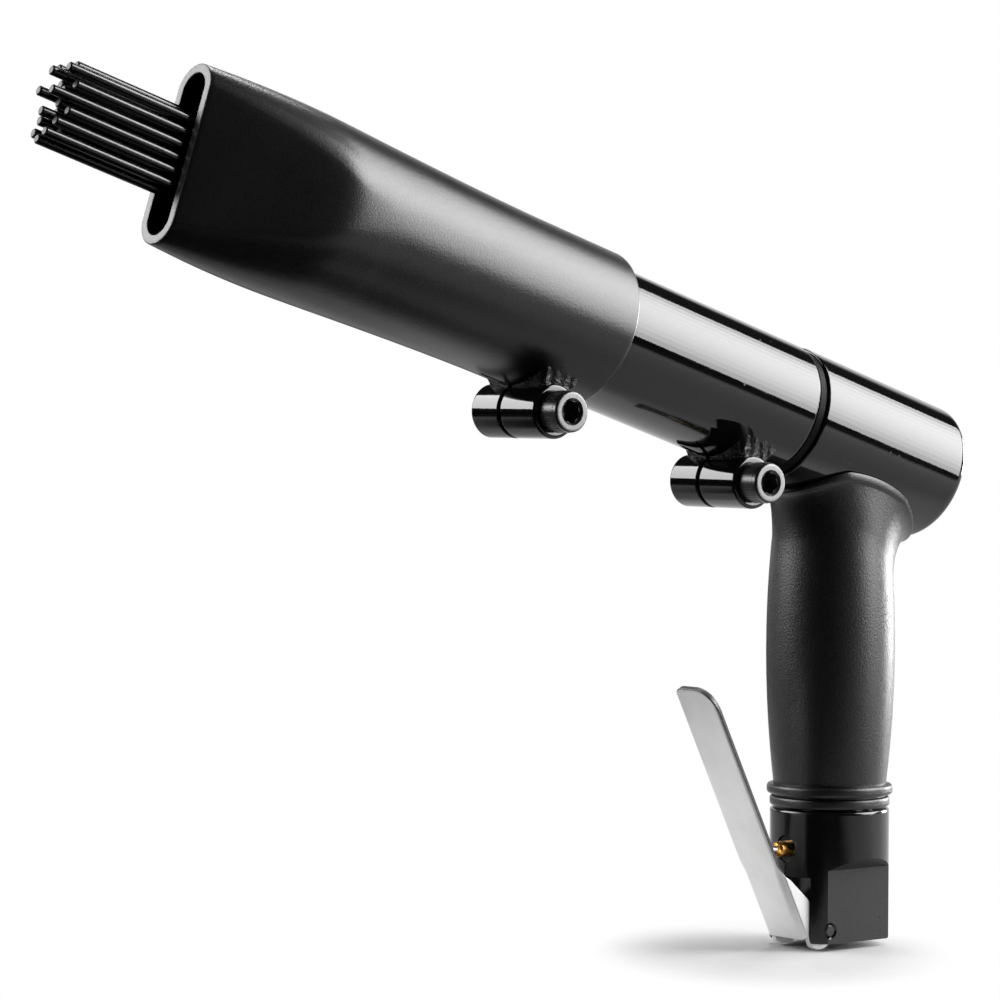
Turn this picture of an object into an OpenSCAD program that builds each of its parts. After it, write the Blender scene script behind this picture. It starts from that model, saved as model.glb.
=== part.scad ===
// Pneumatic needle scaler, pistol type, as an assembly of separate parts.
// Sizes are in millimetres. The handle axis is Z, the barrel points to -X and the
// tool's left side is -Y. The origin is the mouth of the air inlet under the handle.
// In the barrel's own frame x is up, y is the tool's right side and z is forward.

/* [Barrel] */
// Tilt of the barrel above the square to the handle, in degrees
barrel_tilt = 17.8; // [0:0.1:30]
// Height of the barrel axis over the inlet, on the handle axis
axis_height = 168.4; // [150:0.1:190]
// Outer diameter of the housing tube
housing_d = 46; // [40:0.5:52]
// Wall of the housing tube
housing_wall = 2.6; // [2:0.1:4]
// Length of the housing tube
housing_len = 142; // [120:1:170]
// Step from the housing tube up to the rear head, on the radius
head_step = 0.3; // [0.1:0.1:1.5]
// Rear face of the head, behind the handle axis
head_back = 42; // [36:0.5:50]
// Front face of the head, in front of the handle axis
head_front = 24.8; // [22:0.1:30]
// Rounding of the head's rear edge
head_round = 3; // [1:0.1:6]
// Thickness of the head's rear wall
head_wall = 10; // [6:0.5:14]
// Width of the seam ring
ring_w = 3.8; // [2:0.1:6]
// Depth of the seam ring below the housing tube
ring_recess = 0.5; // [0.2:0.1:1.2]

/* [Needle tube] */
// Gap between needle tube and housing tube, on the radius
slide_gap = 0.3; // [0.3:0.05:0.8]
// Wall of the needle tube
tube_wall = 3; // [2:0.1:4]
// Rear edge of the needle tube, in front of the handle axis
tube_back = 112.5; // [105:0.5:120]
// Mouth of the needle tube, in front of the handle axis
tube_front = 276; // [260:1:300]
// Length over which the tube is pressed flat
flat_len = 48; // [30:1:60]
// Height that the mouth gains when the tube is pressed flat
mouth_rise = 4; // [0:0.1:8]
// Height of the belly behind the mouth, over the straight spread of the tube
tube_belly = 2.8; // [0:0.1:4]
// Gap between the needles and the sides of the mouth
mouth_gap = 0.4; // [0.3:0.05:3]
// Chamfer on the rear edge
tube_chamfer = 0.8; // [0.2:0.1:1.5]

/* [Clamp lugs] */
// Diameter of the lugs
lug_d = 17.2; // [16:0.1:20]
// Length of the lug half under the screw head
lug_near = 18; // [14:0.5:22]
// Length of the threaded lug half
lug_far = 14.2; // [10:0.1:18]
// Width of the clamping slit
slit_w = 1.6; // [1:0.1:2.5]
// Length of slit in front of the lug
slit_run = 10; // [6:0.5:16]
// Depth of the lugs in the tube wall
lug_sink = 2.2; // [1:0.1:2.4]
// Width of the weld between lug and tube, at its waist
web_w = 9; // [6:0.5:12]
// Hollow of the weld's sides, as a radius
web_r = 3.6; // [2:0.1:4]
// Place of the housing lug, in front of the handle axis
housing_lug_at = 44; // [40:0.5:60]
// Place of the needle tube lug, in front of the handle axis
tube_lug_at = 129.6; // [124:0.2:150]
// Thread of the clamp screws
screw_d = 8; // [6:0.5:8]
// Head diameter of the clamp screws
screw_head_d = 13; // [10:0.5:14]
// Head height of the clamp screws
screw_head_h = 8.4; // [6:0.1:9]
// Width across the hex socket
socket_af = 6.6; // [5:0.1:7]
// Depth of the hex socket
socket_depth = 5; // [3:0.5:6]

/* [Striker] */
// Wall of the head round the cylinder
head_skin = 5.3; // [4:0.1:6]
// Depth of the air gallery round the rear of the cylinder
gallery = 2.5; // [1.5:0.1:3]
// Wall of the cylinder at the gallery
liner_wall = 2.5; // [2:0.1:4]
// Rear face of the cylinder, behind the handle axis
cyl_back = 20; // [18:0.5:22]
// Front face of the cylinder, in front of the handle axis
cyl_front = 92; // [88:0.5:96]
// Thickness of the cylinder's rear wall
cyl_wall = 4; // [3:0.5:6]
// Length of the piston
piston_len = 42; // [34:0.5:46]
// Stroke of the piston
piston_stroke = 30; // [24:0.5:32]
// Diameter of the anvil's shank
anvil_d = 18; // [14:0.5:20]
// Step from the anvil bush in to the anvil's head
anvil_step = 1.5; // [1:0.1:4]
// Thickness of the anvil's head
anvil_head_h = 11; // [8:0.5:12]
// Wall of the cylinder round the anvil bush
bush_wall = 4.37; // [3:0.01:6]
// Length of the anvil bush
anvil_bush_len = 24; // [20:0.5:26]
// Running clearance of sliding pieces, on the radius
run_gap = 0.05; // [0.02:0.01:0.09]
// Clearance of pieces that are fixed together, on the radius
seat_gap = 0.03; // [0.02:0.01:0.06]

/* [Needles] */
// Diameter of a needle, for each millimetre of spacing along a column
needle_share = 0.732; // [0.65:0.001:0.8]
// Diameter of a needle's head, for each millimetre of spacing along a column
head_share = 0.927; // [0.85:0.001:0.95]
// Height of the needle bundle, for each millimetre of the housing tube's bore
bundle_share = 0.6765; // [0.6:0.0005:0.7]
// Chamfer of the needle tips
needle_chamfer = 0.4; // [0:0.05:0.8]
// Spacing of the three columns, for each millimetre of spacing along a column
column_share = 0.878; // [0.87:0.001:0.95]
// Height of a needle's head
needle_head_h = 2.5; // [1.5:0.1:4]
// Mean place of the needle tips, in front of the handle axis
needle_tip = 320; // [300:1:340]
// Spread of the needle tips to either side of the mean
tip_spread = 4; // [0:0.5:8]
// Gap between the needle holder and the housing tube, on the radius
holder_gap = 0.9; // [0.5:0.1:2]
// Thickness of the needle holder
holder_h = 14; // [10:0.5:18]
// Forward travel of holder and needles
needle_travel = 8; // [4:0.5:8]

/* [Springs] */
// Gap between the return spring and the housing tube, on the radius
spring_gap = 2.2; // [1:0.1:3]
// Wire of the return spring
spring_wire = 2.4; // [1.6:0.1:2.6]
// Curls of the return spring
spring_curls = 6; // [4:1:8]
// Room between the return spring and the holder at its foremost
spring_room = 0.8; // [0.4:0.1:2]
// Thickness of the return spring's seat
spring_seat_h = 4; // [3:0.5:6]
// Lip of the return spring's seat inside the spring, on the radius
seat_lip = 0.8; // [0.2:0.1:1]
// Mean diameter of the valve spring
valve_spring_d = 6.4; // [5.6:0.1:7]
// Wire of the valve spring
valve_spring_wire = 0.8; // [0.6:0.1:1]
// Curls of the valve spring
valve_spring_curls = 3; // [2:1:3]

/* [Grip] */
// Diameter of the handle stem inside the grip
stem_d = 30; // [26:0.5:32]
// Bore of the air passage in the stem
air_d = 12; // [8:0.5:14]
// Grip diameter at the belly
grip_belly_d = 43.2; // [40:0.2:48]
// Height of the belly
grip_belly_at = 98; // [88:1:106]
// Radius of the belly's long curve
grip_curve = 390; // [300:5:600]
// Radius of the flare under the barrel
grip_flare_r = 16; // [10:0.5:20]
// Height where the flare begins
grip_flare_at = 134; // [128:0.5:138]
// Diameter of the upper rib
rib_upper_d = 42.2; // [40:0.1:46]
// Diameter of the lower rib
rib_lower_d = 40.2; // [38:0.1:44]
// Height of a rib
rib_h = 3.4; // [2:0.1:5]
// Rounding of the ribs' edges
rib_round = 1; // [0.4:0.1:1.6]
// Groove between the ribs and below them
rib_gap = 0.6; // [0.4:0.1:1.2]
// Depth of the grooves below the lower rib's surface
rib_groove = 1.2; // [0.6:0.1:2]
// Radius of the saddle flange's ends
saddle_r = 20.5; // [20:0.1:22.5]
// Front end of the saddle flange
saddle_front = 24; // [22:0.5:26]
// Rear end of the saddle flange
saddle_back = 30; // [26:0.5:34]
// Thickness of the saddle flange
saddle_t = 2.2; // [1.5:0.1:3]

/* [Valve body] */
// Diameter of the valve body
base_d = 40; // [38:0.5:44]
// Height of the valve body
base_h = 44; // [42:0.5:46]
// Edge chamfer of the valve body
base_chamfer = 0.8; // [0.4:0.1:1.5]
// Depth of each wrench flat
flats_cut = 5.5; // [3:0.5:6.5]
// Height of the wrench flats
flats_h = 24.5; // [16:0.5:26]
// Rise of the sloped ledge over the flats
ledge_rise = 4.4; // [2:0.1:6]
// Diameter of the spigot in the stem
spigot_d = 20; // [18:0.5:22]
// Length of the spigot
spigot_len = 14; // [10:0.5:18]
// Outer diameter of the inlet bush
inlet_d = 15.4; // [14:0.1:15.6]
// Length of the inlet bush
inlet_len = 10.5; // [9.5:0.5:11]
// Minor diameter of the inlet thread
inlet_bore = 11.4; // [9:0.1:12]
// Diameter of the strainer
strainer_d = 9; // [7:0.1:9.4]
// Thickness of the strainer
strainer_t = 1.2; // [0.8:0.1:1.6]
// Bore of the ball chamber
chamber_d = 12; // [11:0.5:12.5]
// Diameter of the valve ball
ball_d = 9; // [8:0.2:9.4]
// Bore of the valve seat
seat_bore = 6; // [5:0.1:6.4]
// Thickness of the valve seat
seat_t = 2.6; // [2:0.1:2.8]
// Lower face of the valve seat
seat_at = 23.5; // [22:0.1:24]
// Gap between ball and seat
seat_lift = 0.3; // [0.3:0.05:0.6]

/* [Throttle] */
// Height of the valve stem
stem_at = 31; // [30:0.1:33]
// Diameter of the valve stem
vstem_d = 3.2; // [2.5:0.1:3.4]
// Travel of the valve stem
stem_travel = 6; // [4:0.5:6]
// Gap between the stem's domed end and the lever, along the stem
stem_gap = 0.55; // [0.5:0.05:1]
// Largest diameter of the stem's cone
cone_d = 8; // [6:0.1:8.4]
// Rise of the cone for each millimetre along it
cone_slope = 0.35; // [0.25:0.01:0.4]
// Diameter of the brass nose
nose_d = 5.4; // [4.4:0.1:6.4]
// Reach of the brass nose in front of the valve body
nose_proud = 4.4; // [2.5:0.1:4.6]
// Diameter of the brass bush in the body
bush_d = 9; // [8:0.1:9.6]
// Diameter of the push pin
push_d = 2.6; // [2:0.1:3]
// Width of the lever
lever_w = 19; // [14:0.1:20]
// Sheet thickness of the lever
lever_t = 2; // [1.2:0.1:2.4]
// Lean of the open lever from the handle axis, in degrees
lever_lean = 26.3; // [20:0.1:30]
// Height of the lever's tip
lever_top = 86; // [70:0.5:100]
// Reach of the lever's face in front of the valve body, at the height of the valve stem
lever_out = 14.2; // [13:0.1:16]
// Rounding of the lever's tip corners
lever_round = 7; // [2:0.5:8]
// Outer radius of the bends along the lever's sides
lever_bend = 2.8; // [2.2:0.1:4]
// Height where the lever's ears begin
ear_top = 22; // [18:0.5:26]
// Height over which the ears grow out of the strip
ear_rise = 4; // [2:0.5:5]
// Radius of the ears' lobes
lobe_r = 6.8; // [5:0.1:7]
// Distance of the lever pin behind the front of the valve body
pivot_in = 7.5; // [7:0.1:8]
// Depth of the lever's slot
slot_depth = 9.5; // [9:0.1:10]
// Height of the lever pin
pivot_z = 4.5; // [4:0.1:6]
// Diameter of the lever pin
pin_d = 4; // [3:0.1:5]
// Gap on each side of the lever in its slot
ear_gap = 0.4; // [0.3:0.05:0.8]

/* [Hidden] */
$fn = 64;
eps = 0.01;
seam_step = 0.15;
housing_id = housing_d - 2 * housing_wall;
housing_back = head_front + ring_w;
housing_front = housing_back + housing_len;
head_d = housing_d + 2 * head_step;
ring_d = housing_d - 2 * ring_recess;
tube_id = housing_d + 2 * slide_gap;
tube_d = tube_id + 2 * tube_wall;
flat_at = tube_front - flat_len;
spread_at = tube_lug_at + lug_d / 2 + slit_run + 2;
spread_len = tube_front - spread_at;
nose_land_d = housing_id - 2 * seat_gap;
cyl_land_d = head_d - 2 * head_skin;
cyl_tail_d = cyl_land_d - 2 * gallery;
cyl_bore = cyl_tail_d - 2 * liner_wall;
case_recess_d = cyl_bore - 4;
case_port_r = cyl_land_d / 2 - 4;
anvil_bush_d = nose_land_d - 2 * bush_wall;
anvil_head_d = anvil_bush_d - 2 * anvil_step;
case_back = -head_back + head_wall;
bore_back = -cyl_back + cyl_wall;
piston_back = bore_back + 0.5;
anvil_back = piston_back + piston_len + piston_stroke + 0.5;
anvil_bush_at = anvil_back + 3;
anvil_head_at = anvil_bush_at + anvil_bush_len + 0.3;
needle_back = anvil_head_at + anvil_head_h;
holder_at = needle_back + needle_head_h;
holder_d = housing_id - 2 * holder_gap;
spring_d = housing_id - 2 * spring_gap - spring_wire;
spring_at = holder_at + holder_h + needle_travel + spring_room;
spring_len = housing_front - spring_seat_h - spring_at;
spring_seat_bore = spring_d - spring_wire - 2 * seat_lip;
needle_pitch = bundle_share * housing_id / (6 + needle_share);
needle_d = needle_share * needle_pitch;
needle_head_d = head_share * needle_pitch;
column_pitch = column_share * needle_pitch;
mouth_w = 2 * column_pitch + needle_d + 2 * (mouth_gap + tube_wall);
mouth_h = tube_d + mouth_rise;
saddle_fore = saddle_front - saddle_r;
saddle_aft = saddle_back - saddle_r;
slot_w = lever_w + 2 * ear_gap;
slot_back = base_d / 2 - slot_depth;
flats_w = base_d - 2 * flats_cut;
rib_neck_d = rib_lower_d - 2 * rib_groove;
nose_reach = base_d / 2 + nose_proud;
lever_reach = base_d / 2 + lever_out;
pivot_x = base_d / 2 - pivot_in;
slot_h = ear_top;
pocket_r = lobe_r + ear_gap;
pocket_w = lever_t + 2 * ear_gap;
inlet_depth = inlet_len - strainer_t - 1;
ball_at = seat_at - sqrt(pow(ball_d / 2, 2) - pow(seat_bore / 2, 2)) - seat_lift;
cone_tip = 0.5;
cone_len = (cone_d - vstem_d) / 2 / cone_slope;
bush_inner = cone_len - cone_tip + 0.7;
bush_outer = base_d / 2 - 0.8;
cone_at_pin = vstem_d / 2 + cone_slope * cone_tip;
push_top = stem_at - cone_at_pin - 0.5;
lever_back_x = lever_reach - lever_t / cos(lever_lean);
vstem_front = lever_back_x - stem_gap;
vstem_tail = cone_tip + stem_travel + 3.7;
cone_room = cone_tip + stem_travel + 0.5;
black = [0.06, 0.06, 0.07];
rubber = [0.12, 0.12, 0.12];
steel = [0.72, 0.73, 0.75];
dark_steel = [0.3, 0.3, 0.32];
brass = [0.8, 0.55, 0.2];

// Frames

// Places children on the barrel axis, a distance in front of the handle axis.
module on_barrel(at = 0) {
    translate([0, 0, axis_height])
        rotate([0, barrel_tilt - 90, 0])
            translate([0, 0, at])
                children();
}

// Turns children that stand on Z so that they lie along +X.
module along_x() {
    rotate([0, 90, 0])
        children();
}

// Turns children that stand on Z so that they lie along +Y.
module along_y() {
    rotate([-90, 0, 0])
        children();
}

// Common forms

// A round bar with a chamfer at both ends.
module bar(d, h, c) {
    rotate_extrude()
        polygon([[0, 0], [d / 2 - c, 0], [d / 2, c], [d / 2, h - c], [d / 2 - c, h], [0, h]]);
}

// A plain tube.
module pipe(d, bore, h) {
    difference() {
        cylinder(d = d, h = h);
        translate([0, 0, -1])
            cylinder(d = bore, h = h + 2);
    }
}

// A ring of round section.
module round_ring(d, wire) {
    rotate_extrude()
        translate([d / 2, 0])
            circle(d = wire, $fn = 32);
}

// Points of one section through the pressed tube: a flat of half height f between two
// half ellipses, with half width b and half height h.
function pressed_section(b, h, f, at, n) = [
    for (i = [0 : n - 1])
        let (a = (i + 0.5) * 360 / n)
            [(h - f) * sin(a) + (sin(a) > 0 ? f : -f), b * cos(a), at]
];

// Part u of the way from round tube to pressed mouth. The height spreads from the start and
// the sides close in on the last part t. The flat's height grows with the root of t, which
// gives the pressed face its rounded end.
function pressed_ring(u, inset, n) = let (
        at = spread_at + u * spread_len,
        t = max(0, (at - flat_at) / flat_len),
        b = tube_d / 2 + t * (mouth_w - tube_d) / 2,
        h = tube_d / 2 + u * mouth_rise / 2 + tube_belly / 2 * sin(180 * u * u),
        f = (mouth_h - mouth_w) / 2 * sqrt(t)
    ) pressed_section(b - inset, h - inset, f, at, n);

// Wall of the pressed front end, as one closed skin: out along the outside, back inside.
// Its first section stands a little inside the round tube's end face on both sides.
module pressed_front(n = 72, before = 6, after = 12) {
    turn = 1 - flat_len / spread_len;
    places = concat(
        [for (k = [0 : before]) turn * k / before],
        [for (k = [1 : after]) turn + (1 - turn) * pow(k / after, 1.5)]
    );
    last = len(places) - 1;
    step = [for (k = [0 : last]) k == 0 ? seam_step : 0];
    rings = concat(
        [for (k = [0 : last]) pressed_ring(places[k], step[k], n)],
        [for (k = [last : -1 : 0]) pressed_ring(places[k], tube_wall - step[k], n)]
    );
    m = len(rings);
    points = [for (r = rings) each r];
    faces = [
        for (j = [0 : m - 1])
            for (i = [0 : n - 1])
                let (a = j * n + i, b = j * n + (i + 1) % n)
                let (c = ((j + 1) % m) * n + (i + 1) % n, d = ((j + 1) % m) * n + i)
                    each [[a, b, c], [a, c, d]]
    ];
    polyhedron(points, faces, convexity = 6);
}

// One curl point of a wire spring.
function curl_point(i, r, rise, steps) = [r * cos(360 * i / steps), r * sin(360 * i / steps), rise * i / steps];

// A wire spring on Z, as one closed tube. Its wire starts and ends at mid height z0 and z1.
module wire_spring(d, wire, curls, z0, z1) {
    steps = 12;
    sides = 6;
    rise = (z1 - z0) / curls;
    count = curls * steps;
    lean = atan2(rise, PI * d);
    points = [
        for (i = [0 : count])
            let (a = 360 * i / steps, p = curl_point(i, d / 2, rise, steps))
            for (k = [0 : sides - 1])
                let (w = 360 * k / sides, u = wire / 2 * cos(w), v = wire / 2 * sin(w))
                    p + [
                        u * cos(a) + v * sin(lean) * sin(a),
                        u * sin(a) - v * sin(lean) * cos(a),
                        z0 + v * cos(lean)
                    ]
    ];
    sides_faces = [
        for (i = [0 : count - 1])
            for (k = [0 : sides - 1])
                let (a = i * sides + k, b = i * sides + (k + 1) % sides)
                    each [[a, b + sides, a + sides], [a, b, b + sides]]
    ];
    start = [for (k = [sides - 1 : -1 : 0]) k];
    end = [for (k = [0 : sides - 1]) count * sides + k];
    gap = min([
        for (k = [0 : sides - 1])
            for (q = [0 : sides - 1])
                norm(points[k] - points[steps * sides + q])
    ]);
    echo(spring_gap = gap);
    polyhedron(points, concat(sides_faces, [start, end]), convexity = 10);
}

// Rear head

module rear_head() {
    color(black)
        difference() {
            union() {
                on_barrel(-head_back)
                    head_shell();
                translate([0, 0, base_h])
                    cylinder(d = stem_d, h = axis_height - base_h);
            }
            on_barrel(case_back)
                cylinder(d = cyl_land_d + 2 * seat_gap, h = head_front - case_back + 1);
            translate([0, 0, base_h - 1])
                cylinder(d = air_d, h = axis_height - base_h);
            translate([0, 0, base_h - 1])
                cylinder(d = spigot_d + 2 * seat_gap, h = spigot_len + 1.5);
        }
}

// Outside of the rear barrel, with a rounded rear edge.
module head_shell() {
    rotate_extrude()
        union() {
            translate([0, head_round])
                square([head_d / 2, head_back + head_front - head_round]);
            square([head_d / 2 - head_round, head_round + 1]);
            translate([head_d / 2 - head_round, head_round])
                circle(r = head_round);
        }
}

// Sealing ring between the spigot of the valve body and the bottom of its seat.
module head_seal() {
    color(rubber)
        translate([0, 0, base_h + spigot_len + eps])
            pipe(spigot_d - 1, air_d - 1, 0.5 - 2 * eps);
}

module valve_case() {
    length = -cyl_back - case_back;
    color(dark_steel)
        on_barrel(case_back)
            difference() {
                cylinder(d = cyl_land_d, h = length);
                translate([0, 0, length - 4])
                    cylinder(d = case_recess_d, h = 5);
                for (a = [0 : 60 : 300])
                    rotate(a)
                        translate([case_port_r, 0, -1])
                            cylinder(d = 3.6, h = length + 2);
                translate([0, 0, -1])
                    cylinder(d = 6, h = length + 2);
            }
}

// Flutter disc in its chamber between valve case and cylinder.
module valve_disc() {
    color(steel)
        on_barrel(-cyl_back - 4)
            pipe(case_recess_d - 0.4, 6, 1.6);
}

module cylinder_body() {
    translate([0, 0, -cyl_back])
        cylinder(d = cyl_tail_d, h = cyl_back + 8);
    translate([0, 0, 6])
        cylinder(d = cyl_land_d, h = head_front - 6);
    translate([0, 0, head_front])
        cylinder(d = nose_land_d, h = cyl_front - head_front);
}

module cylinder_liner() {
    color(steel)
        on_barrel()
            difference() {
                cylinder_body();
                translate([0, 0, bore_back])
                    cylinder(d = cyl_bore, h = anvil_bush_at - bore_back + eps);
                translate([0, 0, anvil_bush_at])
                    cylinder(d = anvil_bush_d + 2 * seat_gap, h = cyl_front);
                for (a = [30 : 60 : 330])
                    rotate(a)
                        translate([cyl_bore / 2 - 4, 0, -cyl_back - 1])
                            cylinder(d = 3, h = cyl_wall + 2);
            }
}

module piston() {
    color(steel)
        on_barrel(piston_back)
            difference() {
                bar(cyl_bore - 2 * run_gap, piston_len, 1);
                for (z = [9, piston_len - 9])
                    translate([0, 0, z - 1])
                        pipe(cyl_bore + 2, cyl_bore - 2, 2);
            }
}

module anvil_bush() {
    color(brass)
        on_barrel(anvil_bush_at)
            pipe(anvil_bush_d, anvil_d + 2 * run_gap, anvil_bush_len);
}

module anvil() {
    color(dark_steel)
        on_barrel() {
            translate([0, 0, anvil_back])
                bar(anvil_d, anvil_head_at - anvil_back + 2, 0.8);
            translate([0, 0, anvil_head_at])
                bar(anvil_head_d, anvil_head_h, 0.6);
        }
}

// Tubes and clamps

module seam_ring() {
    color(rubber)
        on_barrel(head_front)
            pipe(ring_d, nose_land_d + 2 * seat_gap, ring_w);
}

// Split lug under a tube of outer diameter d: a cross bar and the weld that carries it.
module lug(d) {
    translate([-(d / 2 + lug_d / 2 - lug_sink), 0, 0]) {
        translate([0, -lug_near, 0])
            along_y()
                bar(lug_d, lug_near + lug_far, 0.7);
        translate([0, -lug_near + 3, 0])
            weld(lug_near + lug_far - 5);
    }
}

// Weld over a lug, on the lug's axis: a block with hollow sides, widest at the tube.
module weld(length) {
    side = web_w / 2 + web_r;
    waist = lug_d / 2 - lug_sink - 1.5;
    difference() {
        translate([0, 0, -side + 0.2])
            cube([lug_d / 2 + 5, length, 2 * side - 0.4]);
        for (z = [-side, side])
            translate([waist, -1, z])
                along_y()
                    cylinder(r = web_r, h = length + 2);
    }
}

// Holes of a lug: a clear hole under the screw head, a thread in the far half.
module lug_holes(d) {
    translate([-(d / 2 + lug_d / 2 - lug_sink), 0, 0]) {
        translate([0, -lug_near - 1, 0])
            along_y()
                cylinder(d = screw_d + 0.8, h = lug_near + 1);
        translate([0, -1, 0])
            along_y()
                cylinder(d = screw_d + 2 * seat_gap, h = lug_far + 2);
    }
}

// Slit along the underside of a tube and through its lug.
module slit(d, from, to) {
    translate([-(d / 2 + lug_d), -slit_w / 2, from])
        cube([lug_d + d / 4, slit_w, to - from]);
}

// Socket head cap screw of a lug.
module lug_screw(d) {
    translate([-(d / 2 + lug_d / 2 - lug_sink), -lug_near, 0])
        along_y()
            difference() {
                union() {
                    translate([0, 0, -screw_head_h])
                        bar(screw_head_d, screw_head_h, 0.6);
                    translate([0, 0, -1])
                        bar(screw_d, lug_near + lug_far, 0.7);
                }
                translate([0, 0, -screw_head_h - 1])
                    cylinder(d = socket_af / cos(30), h = socket_depth + 1, $fn = 6);
            }
}

module housing_tube() {
    color(black)
        on_barrel()
            difference() {
                union() {
                    translate([0, 0, housing_back])
                        bar(housing_d, housing_len, 0.4);
                    translate([0, 0, housing_lug_at])
                        lug(housing_d);
                }
                translate([0, 0, housing_back - 1])
                    cylinder(d = housing_id, h = housing_len + 2);
                translate([0, 0, housing_lug_at])
                    lug_holes(housing_d);
                slit(housing_d, housing_back - 1, housing_lug_at + lug_d / 2 + slit_run);
            }
}

module housing_screw() {
    color(dark_steel)
        on_barrel(housing_lug_at)
            lug_screw(housing_d);
}

module needle_tube() {
    color(black)
        on_barrel()
            union() {
                difference() {
                    union() {
                        translate([0, 0, tube_back])
                            tube_barrel();
                        translate([0, 0, tube_lug_at])
                            lug(tube_d);
                    }
                    translate([0, 0, tube_back - 1])
                        cylinder(d = tube_id, h = spread_at - tube_back + 2);
                    translate([0, 0, tube_lug_at])
                        lug_holes(tube_d);
                    slit(tube_d, tube_back - 1, tube_lug_at + lug_d / 2 + slit_run);
                }
                pressed_front();
            }
}

// Round part of the needle tube, chamfered at its rear edge.
module tube_barrel() {
    r = tube_d / 2;
    rotate_extrude()
        polygon([
            [0, 0],
            [r - tube_chamfer, 0],
            [r, tube_chamfer],
            [r, spread_at - tube_back],
            [0, spread_at - tube_back]
        ]);
}

module needle_tube_screw() {
    color(dark_steel)
        on_barrel(tube_lug_at)
            lug_screw(tube_d);
}

// Needles

// Places of the needles: three columns, with one more needle in the middle one.
needle_places = [
    for (c = [-1 : 1])
        for (i = [0 : 5 + (c == 0 ? 1 : 0)])
            [(i - (c == 0 ? 3 : 2.5)) * needle_pitch, c * column_pitch]
];

// Uneven reach of needle i.
function tip_of(i) = needle_tip + tip_spread * sin(i * 137.5 + 40);

module needles() {
    color(dark_steel)
        on_barrel()
            for (i = [0 : len(needle_places) - 1])
                translate([needle_places[i][0], needle_places[i][1], needle_back])
                    one_needle(tip_of(i) - needle_back);
}

// Needle on Z with its head at the bottom and a blunt chamfered tip.
module one_needle(length) {
    r = needle_d / 2;
    rotate_extrude($fn = 24)
        polygon([
            [0, 0],
            [needle_head_d / 2, 0],
            [needle_head_d / 2, needle_head_h],
            [r, needle_head_h],
            [r, length - needle_chamfer],
            [r - needle_chamfer, length],
            [0, length]
        ]);
}

module needle_holder() {
    color(steel)
        on_barrel(holder_at)
            difference() {
                bar(holder_d, holder_h, 1);
                for (p = needle_places)
                    translate([p[0], p[1], -1])
                        cylinder(d = needle_d + 2 * run_gap, h = holder_h + 2, $fn = 24);
            }
}

module return_spring() {
    color(steel)
        on_barrel()
            wire_spring(
                spring_d, spring_wire, spring_curls,
                spring_at + spring_wire / 2, spring_at + spring_len - spring_wire / 2
            );
}

module spring_seat() {
    color(dark_steel)
        on_barrel(housing_front - spring_seat_h)
            pipe(housing_id - 2 * seat_gap, spring_seat_bore, spring_seat_h);
}

// Grip

// Half section of the sleeve: ribs, bellied body and flare under the barrel.
module grip_section() {
    foot = base_h + rib_gap;
    body = foot + 2 * (rib_h + rib_gap);
    translate([0, foot])
        rib(rib_lower_d / 2);
    translate([0, foot + 0.5])
        square([rib_neck_d / 2, 2 * (rib_h + rib_gap) + 1]);
    translate([0, foot + rib_h + rib_gap])
        rib(rib_upper_d / 2);
    intersection() {
        translate([grip_belly_d / 2 - grip_curve, grip_belly_at])
            circle(r = grip_curve, $fn = 256);
        translate([0, body - 0.5])
            square([grip_belly_d, grip_flare_at + 8 - body]);
    }
    difference() {
        translate([0, grip_flare_at])
            square([grip_belly_d / 2 + 3, 24]);
        translate([flare_edge() + grip_flare_r, grip_flare_at])
            circle(r = grip_flare_r);
    }
}

// Half section of a rib with rounded edges.
module rib(r) {
    square([r - rib_round, rib_h]);
    translate([0, rib_round])
        square([r, rib_h - 2 * rib_round]);
    for (z = [rib_round, rib_h - rib_round])
        translate([r - rib_round, z])
            circle(r = rib_round);
}

// Radius of the bellied body where the flare begins.
function flare_edge() = grip_belly_d / 2 - grip_curve
    + sqrt(pow(grip_curve, 2) - pow(grip_flare_at - grip_belly_at, 2));

// Long round of the saddle in plan, as a standing prism.
module saddle_prism(h) {
    translate([-saddle_fore, 0, 0])
        cylinder(r = saddle_r, h = h);
    translate([saddle_aft, 0, 0])
        cylinder(r = saddle_r, h = h);
    translate([-saddle_fore, -saddle_r, 0])
        cube([saddle_fore + saddle_aft, 2 * saddle_r, h]);
}

// Flange that hugs the underside of the rear barrel.
module saddle_flange() {
    intersection() {
        translate([0, 0, grip_flare_at - 14])
            saddle_prism(60);
        on_barrel(-head_back + 2)
            cylinder(d = head_d + 2 * saddle_t, h = head_back + head_front - 2);
        on_barrel(-head_back)
            translate([-head_d, -head_d, 0])
                cube([head_d, 2 * head_d, 2 * head_back]);
    }
}

module grip() {
    color(rubber)
        difference() {
            union() {
                intersection() {
                    rotate_extrude()
                        grip_section();
                    union() {
                        saddle_prism(axis_height);
                        cylinder(d = grip_belly_d + 2, h = grip_flare_at + 2);
                    }
                }
                saddle_flange();
            }
            on_barrel(-2 * head_back)
                cylinder(d = head_d + 2 * seat_gap, h = 4 * head_back);
            translate([0, 0, base_h - 1])
                cylinder(d = stem_d + 2 * seat_gap, h = axis_height - base_h);
        }
}

// Valve body and its inner parts

module valve_body() {
    color(black)
        difference() {
            union() {
                bar(base_d, base_h, base_chamfer);
                translate([0, 0, base_h - 1])
                    cylinder(d = spigot_d, h = spigot_len + 1);
            }
            wrench_flats();
            lever_slot();
            valve_bores();
        }
}

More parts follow.
